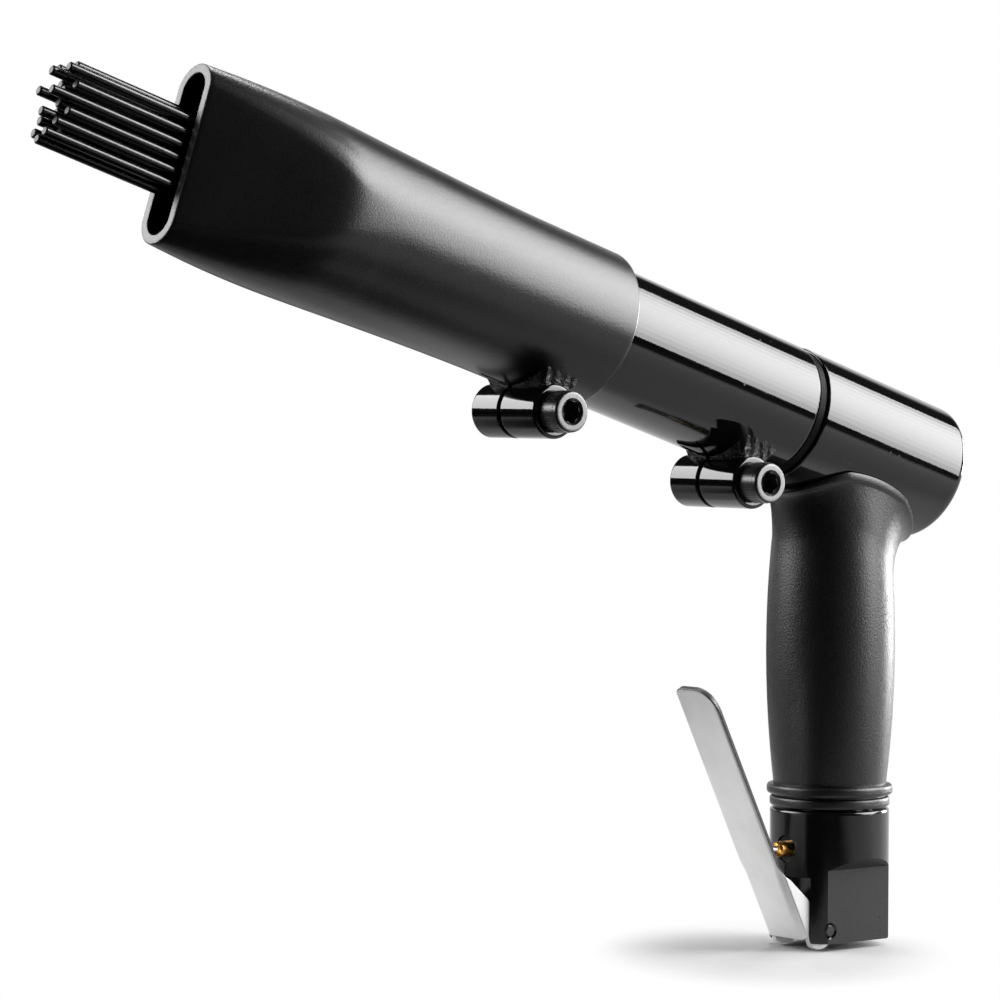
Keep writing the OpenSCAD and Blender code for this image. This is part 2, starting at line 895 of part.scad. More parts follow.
// Two flats with sloped ledges over them.
module wrench_flats() {
    for (side = [-1, 1])
        translate([-base_d, 0, 0])
            rotate([90, 0, 90])
                linear_extrude(2 * base_d)
                    polygon([
                        [side * flats_w / 2, -1],
                        [side * flats_w / 2, flats_h],
                        [side * (base_d / 2 + 1), flats_h + ledge_rise],
                        [side * (base_d / 2 + 1), -1]
                    ]);
}

// Slot in the front, round pockets for the lever's lobes and the hole for its pin.
module lever_slot() {
    translate([-base_d / 2 - 1, -slot_w / 2, -1])
        cube([base_d / 2 + 1 - slot_back, slot_w, slot_h + 1]);
    for (side = [-1, 1])
        translate([-pivot_x, side * (slot_w - pocket_w) / 2, pivot_z])
            along_y()
                cylinder(r = pocket_r, h = pocket_w, center = true);
    translate([-pivot_x, -base_d / 2, pivot_z])
        along_y()
            cylinder(d = pin_d + 2 * seat_gap, h = base_d);
}

// Inlet, ball chamber and air way on Z; bush seat, cone room and guide along X.
module valve_bores() {
    translate([0, 0, -1])
        cylinder(d = inlet_d + 2 * seat_gap, h = inlet_len + 1);
    translate([0, 0, inlet_len - eps])
        cylinder(d = chamber_d, h = seat_at + seat_t - inlet_len);
    cylinder(d = air_d - 2, h = base_h + spigot_len + 1);
    translate([-base_d, 0, stem_at])
        along_x()
            cylinder(d = bush_d + 2 * seat_gap, h = base_d + cone_room);
    translate([0, 0, stem_at])
        along_x()
            cylinder(d = vstem_d + 2 * run_gap, h = vstem_tail + stem_travel + 0.3);
}

module inlet_bush() {
    color(steel)
        difference() {
            cylinder(d = inlet_d, h = inlet_len);
            translate([0, 0, -1])
                cylinder(d = inlet_bore, h = inlet_depth + 1);
            translate([0, 0, inlet_depth - eps])
                cylinder(d = strainer_d + 2 * seat_gap, h = strainer_t + eps);
            cylinder(d = 5, h = inlet_len + 1);
        }
}

module inlet_strainer() {
    color(brass)
        translate([0, 0, inlet_depth])
            difference() {
                cylinder(d = strainer_d, h = strainer_t);
                for (a = [0 : 60 : 300])
                    rotate(a)
                        translate([1.7, 0, -1])
                            cylinder(d = 1.2, h = strainer_t + 2);
            }
}

module valve_seat() {
    color(brass)
        translate([0, 0, seat_at])
            pipe(chamber_d - 2 * seat_gap, seat_bore, seat_t - 2 * eps);
}

module valve_ball() {
    color(steel)
        translate([0, 0, ball_at])
            sphere(d = ball_d);
}

module valve_spring() {
    reach = sqrt(pow(ball_d / 2 + valve_spring_wire / 2, 2) - pow(valve_spring_d / 2, 2));
    color(steel)
        wire_spring(
            valve_spring_d, valve_spring_wire, valve_spring_curls,
            inlet_len + valve_spring_wire / 2, ball_at - reach - 0.05
        );
}

// Pin that passes the stem's movement down to the ball.
module push_pin() {
    color(steel)
        difference() {
            union() {
                translate([0, 0, ball_at])
                    cylinder(d = push_d, h = push_top - push_d / 2 - ball_at, $fn = 32);
                translate([0, 0, push_top - push_d / 2])
                    sphere(d = push_d, $fn = 32);
            }
            translate([0, 0, ball_at])
                sphere(d = ball_d + 2 * seat_gap);
        }
}

module valve_bush() {
    color(brass)
        difference() {
            union() {
                translate([-bush_outer, 0, stem_at])
                    along_x()
                        cylinder(d = bush_d, h = bush_outer - bush_inner);
                translate([-nose_reach, 0, stem_at])
                    along_x()
                        bar(nose_d, nose_reach - bush_inner, 0.5);
            }
            translate([-base_d, 0, stem_at])
                along_x()
                    cylinder(d = vstem_d + 2 * run_gap, h = base_d);
            translate([-bush_outer + 3, 0, stem_at])
                along_x()
                    pipe(bush_d + 2, bush_d - 2, 2);
        }
}

// Sealing ring in the groove of the valve bush.
module stem_seal() {
    color(rubber)
        translate([-bush_outer + 3.1, 0, stem_at])
            along_x()
                pipe(bush_d, bush_d - 2 + 2 * seat_gap, 1.8);
}

module valve_stem() {
    color(steel)
        translate([0, 0, stem_at])
            along_x() {
                translate([0, 0, vstem_d / 2 - vstem_front])
                    cylinder(d = vstem_d, h = vstem_front + vstem_tail - vstem_d / 2);
                translate([0, 0, vstem_d / 2 - vstem_front])
                    sphere(d = vstem_d);
                translate([0, 0, cone_tip - cone_len])
                    cylinder(d1 = cone_d, d2 = vstem_d, h = cone_len);
                translate([0, 0, cone_tip - cone_len - 0.4])
                    cylinder(d = cone_d, h = 0.4 + eps);
            }
}

// Throttle lever

// Point on the lever's front face at a height, a depth behind that face.
function lever_point(z, depth) = [
    -lever_reach - (z - stem_at) * tan(lever_lean) + depth / cos(lever_lean), z
];

// Places children on the lever's front face: x across, y up the strip, z to its back.
module on_lever() {
    low = lever_point(1, 0);
    translate([low[0], 0, low[1]])
        rotate([0, -lever_lean, 0])
            rotate([90, 0, 90])
                children();
}

// A round-cornered block of section, open at the back, across the lever.
module channel_side(w, from, r) {
    translate([-w / 2 + r, from])
        square([w - 2 * r, 40]);
    translate([-w / 2, from + r])
        square([w, 40 - r]);
    for (side = [-1, 1])
        translate([side * (w / 2 - r), from + r])
            circle(r = r);
}

// Sheet bent to a deep channel along the whole lever, before its sides are trimmed.
module channel() {
    length = (lever_top - 1) / cos(lever_lean);
    on_lever()
        translate([0, length + 5, 0])
            rotate([90, 0, 0])
                linear_extrude(length + 15)
                    difference() {
                        channel_side(lever_w, 0, lever_bend);
                        channel_side(lever_w - 2 * lever_t, lever_t + 0.1, lever_bend - lever_t);
                    }
}

// Front view of the lever, with rounded tip corners.
module strip_outline(length) {
    w = lever_w + 2;
    corner = lever_w / 2 - lever_round + 0.05;
    translate([-w / 2, -10])
        square([w, length - lever_round + 10]);
    translate([-corner, -10])
        square([2 * corner, length + 10]);
    for (side = [-1, 1])
        translate([side * corner, length - lever_round])
            circle(r = lever_round);
}

// Side view of the lever: the strip, the ears that grow out of it and their round lobes.
module lever_side() {
    rotate([90, 0, 0])
        linear_extrude(lever_w + 4, center = true)
            polygon([
                lever_point(1, -2),
                lever_point(lever_top + 5, -2),
                lever_point(lever_top + 5, lever_t),
                lever_point(ear_top + ear_rise, lever_t),
                lever_point(ear_top, lever_t + 2),
                [-pivot_x, pivot_z + lobe_r - 0.5],
                [-pivot_x, pivot_z - lobe_r + 0.5],
                [-pivot_x - 2, pivot_z - lobe_r + 1.5]
            ]);
    translate([-pivot_x, 0, pivot_z])
        along_y()
            cylinder(r = lobe_r, h = lever_w + 4, center = true);
}

module throttle_lever() {
    color(steel)
        difference() {
            intersection() {
                channel();
                on_lever()
                    translate([0, 0, -3])
                        linear_extrude(46)
                            strip_outline((lever_top - 1) / cos(lever_lean));
                lever_side();
            }
            translate([-pivot_x, -base_d / 2, pivot_z])
                along_y()
                    cylinder(d = pin_d + 2 * run_gap, h = base_d);
        }
}

module lever_pin() {
    color(steel)
        translate([-pivot_x, -flats_w / 2, pivot_z])
            along_y()
                bar(pin_d, flats_w, 0.4);
}

// Assembly

rear_head();
head_seal();
valve_case();
valve_disc();
cylinder_liner();  // cylinder
piston();
anvil_bush();
anvil();
seam_ring();
housing_tube();
housing_screw();
spring_seat();
return_spring();
needle_holder();
needles();
needle_tube();
needle_tube_screw();
grip();
valve_body();
inlet_bush();
inlet_strainer();
valve_seat();
valve_ball();
valve_spring();
push_pin();
valve_bush();
stem_seal();
valve_stem();
throttle_lever();
lever_pin();
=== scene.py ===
"""Studio scene of a pneumatic needle scaler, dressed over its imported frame.

Pieces are shaped in millimetres and handed over in metres, in the frame's own axes:
Z is the handle axis, the barrel points to -X and the tool's left side is -Y.
"""

import logging
import math
from dataclasses import dataclass
from enum import Enum
from functools import cache
from typing import Callable, Sequence

import bmesh
import bpy
from mathutils import Matrix, Vector, noise

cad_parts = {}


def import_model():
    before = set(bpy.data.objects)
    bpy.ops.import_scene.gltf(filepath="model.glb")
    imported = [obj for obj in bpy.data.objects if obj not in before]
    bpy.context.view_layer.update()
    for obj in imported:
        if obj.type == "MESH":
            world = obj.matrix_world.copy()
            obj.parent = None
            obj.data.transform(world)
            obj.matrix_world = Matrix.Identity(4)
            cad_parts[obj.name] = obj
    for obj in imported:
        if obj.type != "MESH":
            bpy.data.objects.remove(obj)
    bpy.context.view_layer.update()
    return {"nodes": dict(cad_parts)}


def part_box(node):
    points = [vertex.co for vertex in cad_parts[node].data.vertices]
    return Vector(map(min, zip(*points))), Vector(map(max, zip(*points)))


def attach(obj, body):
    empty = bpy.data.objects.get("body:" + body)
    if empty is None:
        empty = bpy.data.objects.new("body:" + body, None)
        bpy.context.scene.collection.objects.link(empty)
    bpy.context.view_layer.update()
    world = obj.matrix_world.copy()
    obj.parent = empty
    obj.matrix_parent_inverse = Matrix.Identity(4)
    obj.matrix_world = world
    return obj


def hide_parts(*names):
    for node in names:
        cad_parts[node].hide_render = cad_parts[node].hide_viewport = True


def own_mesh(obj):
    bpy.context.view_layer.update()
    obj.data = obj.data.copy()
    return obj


LOG = logging.getLogger("needle_scaler")
MM = 0.001
TAU = 2 * math.pi
COIL_STEPS = 28

# Measures that several pieces share, in millimetres and degrees
BARREL_TILT = 17.8
NEEDLE_TUBE_D = 52.6
HOUSING_D = 46.0
LEVER_LEAN = 26.3
STEM_AT = 31.0

Point = tuple[float, float]
Triple = tuple[float, float, float]
Colour = tuple[float, float, float, float]
Form = bmesh.types.BMesh

LEVER_PIVOT: Point = (-12.5, 4.5)
EVEN: Triple = (1, 1, 1)


def grey(level: float, warm: float = 0.0) -> Colour:
    """Returns a grey of that level, a little warmer or cooler."""
    return (level * (1 + warm), level, level * (1 - warm), 1.0)


def mix(low: float, high: float, share: float) -> float:
    """Returns the number that lies a share of the way from low to high."""
    return low + (high - low) * share


def ease(share: float) -> float:
    """Returns a share from 0 to 1 with a soft start and end."""
    held = min(1.0, max(0.0, share))
    return held * held * (3 - 2 * held)


class Sock:
    """A shader socket that takes part in Python expressions."""

    def __init__(self, graph: "Graph", socket: bpy.types.NodeSocket) -> None:
        """Keeps the socket and the graph that it belongs to."""
        self.graph = graph
        self.socket = socket

    def _math(self, operation: str, first: "Operand", second: "Operand") -> "Sock":
        """Adds a Math node of two operands."""
        return self.graph.add("ShaderNodeMath", {"operation": operation}, {0: first, 1: second})

    def __add__(self, other: "Operand") -> "Sock":
        """Adds."""
        return self._math("ADD", self, other)

    __radd__ = __add__

    def __sub__(self, other: "Operand") -> "Sock":
        """Subtracts."""
        return self._math("SUBTRACT", self, other)

    def __rsub__(self, other: "Operand") -> "Sock":
        """Subtracts from a number."""
        return self._math("SUBTRACT", other, self)

    def __mul__(self, other: "Operand") -> "Sock":
        """Multiplies."""
        return self._math("MULTIPLY", self, other)

    __rmul__ = __mul__

    def larger(self, other: "Operand") -> "Sock":
        """Returns the larger of two values."""
        return self._math("MAXIMUM", self, other)

    def between(self, low: float, high: float) -> "Sock":
        """Returns 0 below low and 1 above high, with a soft step between them.

        Args:
            low: Value at which it starts to rise.
            high: Value at which it is 1.

        Returns:
            The step.
        """
        return self.graph.add(
            "ShaderNodeMapRange",
            {"interpolation_type": "SMOOTHSTEP"},
            {"Value": self, "From Min": low, "From Max": high},
        )


Operand = Sock | float


class Graph:
    """A node tree under construction."""

    def __init__(self, tree: bpy.types.NodeTree) -> None:
        """Empties the tree."""
        self.tree = tree
        tree.nodes.clear()

    def add(
        self,
        kind: str,
        settings: dict[str, object] | None = None,
        inputs: dict[object, object] | None = None,
        output: int | str = 0,
    ) -> Sock:
        """Adds one node.

        Args:
            kind: The node's type.
            settings: Its properties, set first. A ramp's stops go under "stops".
            inputs: Values or sockets for its inputs, by name or index.
            output: The output that is wanted.

        Returns:
            The output as a socket.
        """
        node = self.tree.nodes.new(kind)
        for key, value in (settings or {}).items():
            if key == "stops":
                self._stops(node, value)
            else:
                setattr(node, key, value)
        for key, value in (inputs or {}).items():
            if isinstance(value, Sock):
                self.tree.links.new(value.socket, node.inputs[key])
            else:
                node.inputs[key].default_value = value
        return Sock(self, node.outputs[output])

    @staticmethod
    def _stops(node: bpy.types.Node, stops: Sequence[tuple[float, Colour]]) -> None:
        """Sets the stops of a colour ramp.

        Args:
            node: The ramp.
            stops: Place and colour of each stop.
        """
        marks = node.color_ramp.elements
        while len(marks) < len(stops):
            marks.new(1.0)
        for mark, (place, colour) in zip(marks, stops):
            mark.position = place
            mark.color = colour

    def coords(self, turn: Triple = (0, 0, 0), scale: Triple = EVEN) -> Sock:
        """Returns Object coordinates, turned and scaled.

        Args:
            turn: Angles round the three axes.
            scale: Scale along them.

        Returns:
            The coordinates.
        """
        place = self.add("ShaderNodeTexCoord", output="Object")
        inputs = {"Vector": place, "Rotation": turn, "Scale": scale}
        return self.add("ShaderNodeMapping", {"vector_type": "POINT"}, inputs)

    def project(self, place: Sock, axis: Triple) -> Sock:
        """Returns how far a place lies along an axis."""
        settings = {"operation": "DOT_PRODUCT"}
        return self.add("ShaderNodeVectorMath", settings, {0: place, 1: axis}, "Value")

    def grain(self, place: Sock, scale: float, detail: float = 2.0, rough: float = 0.5) -> Sock:
        """Returns a noise from 0 to 1, with its scale in features for each metre.

        Args:
            place: Where it is read.
            scale: Features for each metre.
            detail: Number of finer layers.
            rough: Share of the finer layers.

        Returns:
            The noise.
        """
        return self.add(
            "ShaderNodeTexNoise",
            {"noise_dimensions": "3D"},
            {"Vector": place, "Scale": scale, "Detail": detail, "Roughness": rough},
        )

    def specks(self, place: Sock, scale: float, size: float) -> Sock:
        """Returns small scattered dots, 1 at their centres.

        Args:
            place: Where it is read.
            scale: Features for each metre.
            size: Size of a dot, as a share of a cell.

        Returns:
            The dots.
        """
        inputs = {"Vector": place, "Scale": scale, "Randomness": 1.0}
        far = self.add("ShaderNodeTexVoronoi", {"feature": "F1"}, inputs)
        return 1.0 - far.between(size * 0.4, size)

    def blend(self, share: Operand, first: object, second: object) -> Sock:
        """Returns a mix of two colours."""
        settings = {"data_type": "RGBA", "clamp_factor": True}
        return self.add("ShaderNodeMix", settings, {0: share, 6: first, 7: second}, 2)

    def bump(self, height: Sock, strength: float, depth: float, under: Sock | None = None) -> Sock:
        """Returns a normal from a height.

        Args:
            height: The height, from 0 to 1.
            strength: How much of it shows.
            depth: The height's depth in metres.
            under: A normal to add it to.

        Returns:
            The normal.
        """
        inputs: dict[object, object] = {"Height": height, "Strength": strength, "Distance": depth}
        if under is not None:
            inputs["Normal"] = under
        return self.add("ShaderNodeBump", None, inputs)

    def surface(self, **inputs: object) -> None:
        """Ends the tree in a Principled shader. Names have _ for a space."""
        named = {key.replace("_", " "): value for key, value in inputs.items()}
        self.end(self.add("ShaderNodeBsdfPrincipled", None, named))

    def end(self, shader: Sock, kind: str = "ShaderNodeOutputMaterial") -> None:
        """Links a shader to the tree's output node."""
        node = self.tree.nodes.new(kind)
        self.tree.links.new(shader.socket, node.inputs["Surface"])


@dataclass(frozen=True)
class Finish:
    """What a surface is made of."""

    name: str

    def make(self) -> bpy.types.Material:
        """Returns a new material of this finish.

        Returns:
            The material.
        """
        material = bpy.data.materials.new(self.name)
        material.use_nodes = True
        self.shade(Graph(material.node_tree))
        return material

    def shade(self, graph: Graph) -> None:
        """Builds the shader. Each finish has its own."""
        raise NotImplementedError


@dataclass(frozen=True)
class Lacquer(Finish):
    """Black paint with a gloss, a little orange peel, smears and dust."""

    level: float = 0.0018
    gloss: float = 0.045
    peel: float = 0.04
    lumps: float = 0.0
    dust: float = 0.3

    def shade(self, graph: Graph) -> None:
        """Builds the paint.

        Args:
            graph: The material's empty tree.
        """
        place = graph.coords()
        smear = graph.grain(place, 42, 4, 0.6).between(0.35, 0.8)
        peel = graph.grain(place, 620, 2, 0.5)
        dots = graph.specks(place, 260, 0.16) * graph.grain(place, 30, 2).between(0.5, 0.7)
        normal = graph.bump(peel, self.peel, 0.0002)
        if self.lumps:
            normal = graph.bump(graph.grain(place, 330, 4, 0.65), self.lumps, 0.0012, normal)
        graph.surface(
            Base_Color=graph.blend(dots * self.dust, grey(self.level), grey(0.05)),
            Roughness=self.gloss + smear * 0.05 + dots * 0.2,
            Normal=normal,
            IOR=1.56,
        )


@dataclass(frozen=True)
class Oxide(Finish):
    """Blackened steel with a satin sheen and faint streaks along the tube."""

    level: float = 0.0012
    sheen: float = 0.29
    tilt: float = 0.0
    streaks: float = 0.5
    index: float = 1.56

    def shade(self, graph: Graph) -> None:
        """Builds the blackened steel.

        Args:
            graph: The material's empty tree.
        """
        place = graph.coords()
        along = graph.coords((0, math.radians(self.tilt), 0), (0.04, 1, 1))
        cloud = graph.grain(place, 28, 5, 0.62)
        drawn = graph.grain(along, 900, 3, 0.6)
        fine = graph.grain(place, 1500, 3, 0.55)
        pits = graph.specks(place, 190, 0.13) * graph.grain(place, 22, 2).between(0.52, 0.66)
        tone = graph.blend(cloud.between(0.3, 0.75), grey(self.level), grey(self.level * 2.1))
        height = fine * 1.1 + drawn * self.streaks - pits * 0.6
        graph.surface(
            Base_Color=graph.blend(pits * 0.7, tone, grey(0.003)),
            Roughness=self.sheen - 0.06 + cloud * 0.1 + drawn * 0.05,
            Normal=graph.bump(height, 0.3, 0.00013),
            IOR=self.index,
        )


@dataclass(frozen=True)
class Rubber(Finish):
    """Moulded black rubber with a fine grain and paler handling marks."""

    level: float = 0.0012
    sheen: float = 0.35
    grain: float = 0.7
    index: float = 1.56

    def shade(self, graph: Graph) -> None:
        """Builds the rubber.

        Args:
            graph: The material's empty tree.
        """
        place = graph.coords()
        fine = graph.grain(place, 1500, 3, 0.6)
        cloud = graph.grain(place, 45, 5, 0.6)
        dust = graph.specks(place, 420, 0.2) * graph.grain(place, 60, 3).between(0.5, 0.72)
        tone = graph.blend(cloud.between(0.4, 0.8), grey(self.level), grey(self.level * 1.9))
        graph.surface(
            Base_Color=graph.blend(dust * 0.3, tone, grey(0.03)),
            Roughness=self.sheen + cloud * 0.1 - fine * 0.06,
            Normal=graph.bump(fine + cloud * 0.6, self.grain, 0.00015),
            IOR=self.index,
        )


@dataclass(frozen=True)
class Steel(Finish):
    """Bare steel with brushed lines along one direction."""

    level: float = 0.62
    gloss: float = 0.3
    turn: Triple = (0, 0, 0)
    stretch: Triple = (1, 1, 0.03)
    lines: float = 0.12
    metal: float = 1.0
    stain: float = 0.25

    def shade(self, graph: Graph) -> None:
        """Builds the steel.

        Args:
            graph: The material's empty tree.
        """
        place = graph.coords()
        along = graph.coords(self.turn, self.stretch)
        lines = graph.grain(along, 1500, 4, 0.65)
        cloud = graph.grain(place, 60, 4, 0.6)
        stained = cloud.between(0.35, 0.8) * self.stain
        tone = graph.blend(stained, grey(self.level), grey(self.level * 0.55, 0.04))
        graph.surface(
            Base_Color=tone,
            Metallic=self.metal,
            Roughness=self.gloss + lines * 0.12 - 0.06 + cloud * 0.06,
            Normal=graph.bump(lines, self.lines, 0.00008),
        )


@dataclass(frozen=True)
class Brass(Finish):
    """Turned brass, a little tarnished."""

    bright: Colour = (0.83, 0.43, 0.10, 1)
    tarnish: Colour = (0.48, 0.20, 0.045, 1)

    def shade(self, graph: Graph) -> None:
        """Builds the brass.

        Args:
            graph: The material's empty tree.
        """
        place = graph.coords()
        cloud = graph.grain(place, 260, 4, 0.6)
        rings = graph.grain(graph.coords(scale=(1, 0.05, 0.05)), 4000, 2)
        graph.surface(
            Base_Color=graph.blend(cloud.between(0.4, 0.8), self.bright, self.tarnish),
            Metallic=1.0,
            Roughness=0.2 + cloud * 0.16,
            Normal=graph.bump(rings, 0.08, 0.0001),
        )


class Coat(Enum):
    """The finishes on the tool."""

    GLOSS = Lacquer("gloss_black")
    WELD = Lacquer("gloss_black_weld", gloss=0.12, lumps=1.0)
    FOOT = Lacquer("gloss_black_foot", gloss=0.14, peel=0.08)
    OXIDE = Oxide("black_oxide_tube", tilt=BARREL_TILT)
    FLAT = Oxide("milled_black_flat", level=0.005, index=1.42, sheen=0.5, streaks=0.4)
    SCREW = Oxide("black_oxide_screw", level=0.006, sheen=0.26, streaks=0.2)
    WORN = Steel("worn_screw_face", level=0.2, gloss=0.45, stretch=EVEN, metal=0.6, lines=0.2)
    RUBBER = Rubber("grip_rubber")
    SEAL = Rubber("seal_rubber", level=0.001, sheen=0.4, grain=0.08, index=1.16)
    LEVER = Steel("lever_steel", level=0.7, gloss=0.36, turn=(0, math.radians(LEVER_LEAN), 0))
    # Painted shade: the lever's rim gets a steel far darker than its face, standing in for the
    # shadow on the sheet's thickness
    SHADED_EDGE = Steel("lever_edge_painted_shade", level=0.11, gloss=0.5, stretch=EVEN, lines=0.1)
    RIM = Steel("cut_steel_rim", level=0.13, gloss=0.5, stretch=EVEN, metal=0.7, lines=0.3)
    NEEDLE = Steel(
        "needle_steel",
        level=0.06,
        gloss=0.18,
        turn=(0, math.radians(-BARREL_TILT), 0),
        stretch=(0.03, 1, 1),
    )
    TIP = Steel("needle_tip_steel", level=0.056, gloss=0.45, stretch=EVEN)
    STEEL = Steel("turned_steel", level=0.55, gloss=0.25, stretch=EVEN)
    DARK = Steel("hardened_steel", level=0.22, gloss=0.3, stretch=EVEN)
    BRASS = Brass("brass")

    @cache
    def material(self) -> bpy.types.Material:
        """Returns the finish's material, made when it is first asked for."""
        return self.value.make()


class Shape:
    """Forms that the pieces are put together from."""

    @staticmethod
    def rounded(points: Sequence[Point], radii: dict[int, float], steps: int = 4) -> list[Point]:
        """Rounds corners of a line of points.

        A point beside each arc keeps the shading of the straight sides even.

        Args:
            points: Corners in order.
            radii: Radius of each corner that is rounded, by its index.
            steps: Segments of each arc.

        Returns:
            The line with its arcs.
        """
        out: list[Point] = []
        count = len(points)
        for i, here in enumerate(points):
            radius = radii.get(i, 0.0)
            if radius <= 0:
                out.append(here)
                continue
            p = Vector(here)
            a = (Vector(points[i - 1]) - p).normalized()
            b = (Vector(points[(i + 1) % count]) - p).normalized()
            half = a.angle(b) / 2
            reach = radius / math.tan(half)
            centre = p + (a + b).normalized() * (radius / math.sin(half))
            start, end = p + a * reach - centre, p + b * reach - centre
            sweep = start.angle_signed(end)
            spare = []
            for j in (i - 1, (i + 1) % count):
                free = (Vector(points[j]) - p).length - reach - 1.3 * radii.get(j % count, 0.0)
                spare.append(max(0.0, min(free, radius) * 0.4))
            if spare[0] > 0.02:
                out.append(tuple(p + a * (reach + spare[0])))
            for k in range(steps + 1):
                turned = start.copy()
                turned.rotate(Matrix.Rotation(-sweep * k / steps, 2))
                out.append(tuple(centre + turned))
            if spare[1] > 0.02:
                out.append(tuple(p + b * (reach + spare[1])))
        return out

    @staticmethod
    def second_coat(form: Form, test: Callable[[float], bool]) -> None:
        """Gives the second finish to the faces whose middle has a height that passes a test."""
        for face in form.faces:
            face.material_index = int(test(face.calc_center_median().z))

    @staticmethod
    def turned(section: Sequence[Point], steps: int = 96, shift: float = 0.0) -> Form:
        """Spins a closed half section of radius and height round Z.

        Args:
            section: Points of radius and height, in order.
            steps: Segments of the full turn.
            shift: Angle of the first section.

        Returns:
            The closed form.
        """
        bm = bmesh.new()
        ring = [bm.verts.new((r * math.cos(shift), r * math.sin(shift), z)) for r, z in section]
        edges = [bm.edges.new(pair) for pair in zip(ring, ring[1:] + ring[:1])]
        bmesh.ops.spin(
            bm,
            geom=ring + edges,
            cent=(0, 0, 0),
            axis=(0, 0, 1),
            angle=TAU,
            steps=steps,
            use_merge=True,
        )
        bmesh.ops.remove_doubles(bm, verts=bm.verts, dist=1e-4)
        bmesh.ops.dissolve_degenerate(bm, edges=bm.edges, dist=1e-5)
        bmesh.ops.recalc_face_normals(bm, faces=bm.faces)
        return bm

    @staticmethod
    def prism(radius: float, low: float, high: float, sides: int = 64, turn: float = 0.0) -> Form:
        """Makes a round or many-sided bar on Z.

        Args:
            radius: Radius over the corners.
            low: Height of its lower end.
            high: Height of its upper end.
            sides: Number of sides.
            turn: Angle of the first corner.

        Returns:
            The bar.
        """
        bm = bmesh.new()
        place = Matrix.Translation((0, 0, (low + high) / 2)) @ Matrix.Rotation(turn, 4, "Z")
        bmesh.ops.create_cone(
            bm,
            cap_ends=True,
            segments=sides,
            radius1=radius,
            radius2=radius,
            depth=high - low,
            matrix=place,
        )
        return bm

    @staticmethod
    def block(low: Sequence[float], high: Sequence[float]) -> Form:
        """Makes a box between two corners.

        Args:
            low: The corner with the lowest coordinates.
            high: The corner across from it.

        Returns:
            The box.
        """
        bm = bmesh.new()
        size = [b - a for a, b in zip(low, high)]
        middle = [(a + b) / 2 for a, b in zip(low, high)]
        place = Matrix.Translation(middle) @ Matrix.Diagonal((*size, 1))
        bmesh.ops.create_cube(bm, size=1.0, matrix=place)
        return bm

    @staticmethod
    def plate(outline: Sequence[Point], thickness: float) -> Form:
        """Makes a flat plate on the XY plane from its outline.

        Args:
            outline: Corners in order.
            thickness: Thickness along Z.

        Returns:
            The plate.
        """
        bm = bmesh.new()
        face = bm.faces.new([bm.verts.new((x, y, 0)) for x, y in outline])
        made = bmesh.ops.extrude_face_region(bm, geom=[face])["geom"]
        top = [v for v in made if isinstance(v, bmesh.types.BMVert)]
        bmesh.ops.translate(bm, verts=top, vec=(0, 0, thickness))
        bmesh.ops.recalc_face_normals(bm, faces=bm.faces)
        return bm

    @staticmethod
    def coil(
        mean_d: float, wire: float, low: float, high: float, turns: int, sides: int = 10
    ) -> Form:
        """Winds a wire round Z by a spin that also climbs.

        Args:
            mean_d: Diameter at the wire's middle.
            wire: Diameter of the wire.
            low: Height of the first end's middle.
            high: Height of the last end's middle.
            turns: Number of turns.
            sides: Sides of the wire's section.

        Returns:
            The coil with closed ends.
        """
        bm = bmesh.new()
        place = Matrix.Translation((mean_d / 2, 0, low)) @ Matrix.Rotation(math.pi / 2, 4, "X")
        ring = bmesh.ops.create_circle(bm, segments=sides, radius=wire / 2, matrix=place)["verts"]
        edges = list({e for v in ring for e in v.link_edges})
        steps = COIL_STEPS * turns
        bmesh.ops.spin(
            bm,
            geom=ring + edges,
            cent=(0, 0, 0),
            axis=(0, 0, 1),
            dvec=(0, 0, (high - low) / steps),
            angle=TAU * turns,
            steps=steps,
        )
        bmesh.ops.holes_fill(bm, edges=bm.edges, sides=0)
        bmesh.ops.recalc_face_normals(bm, faces=bm.faces)
        return bm


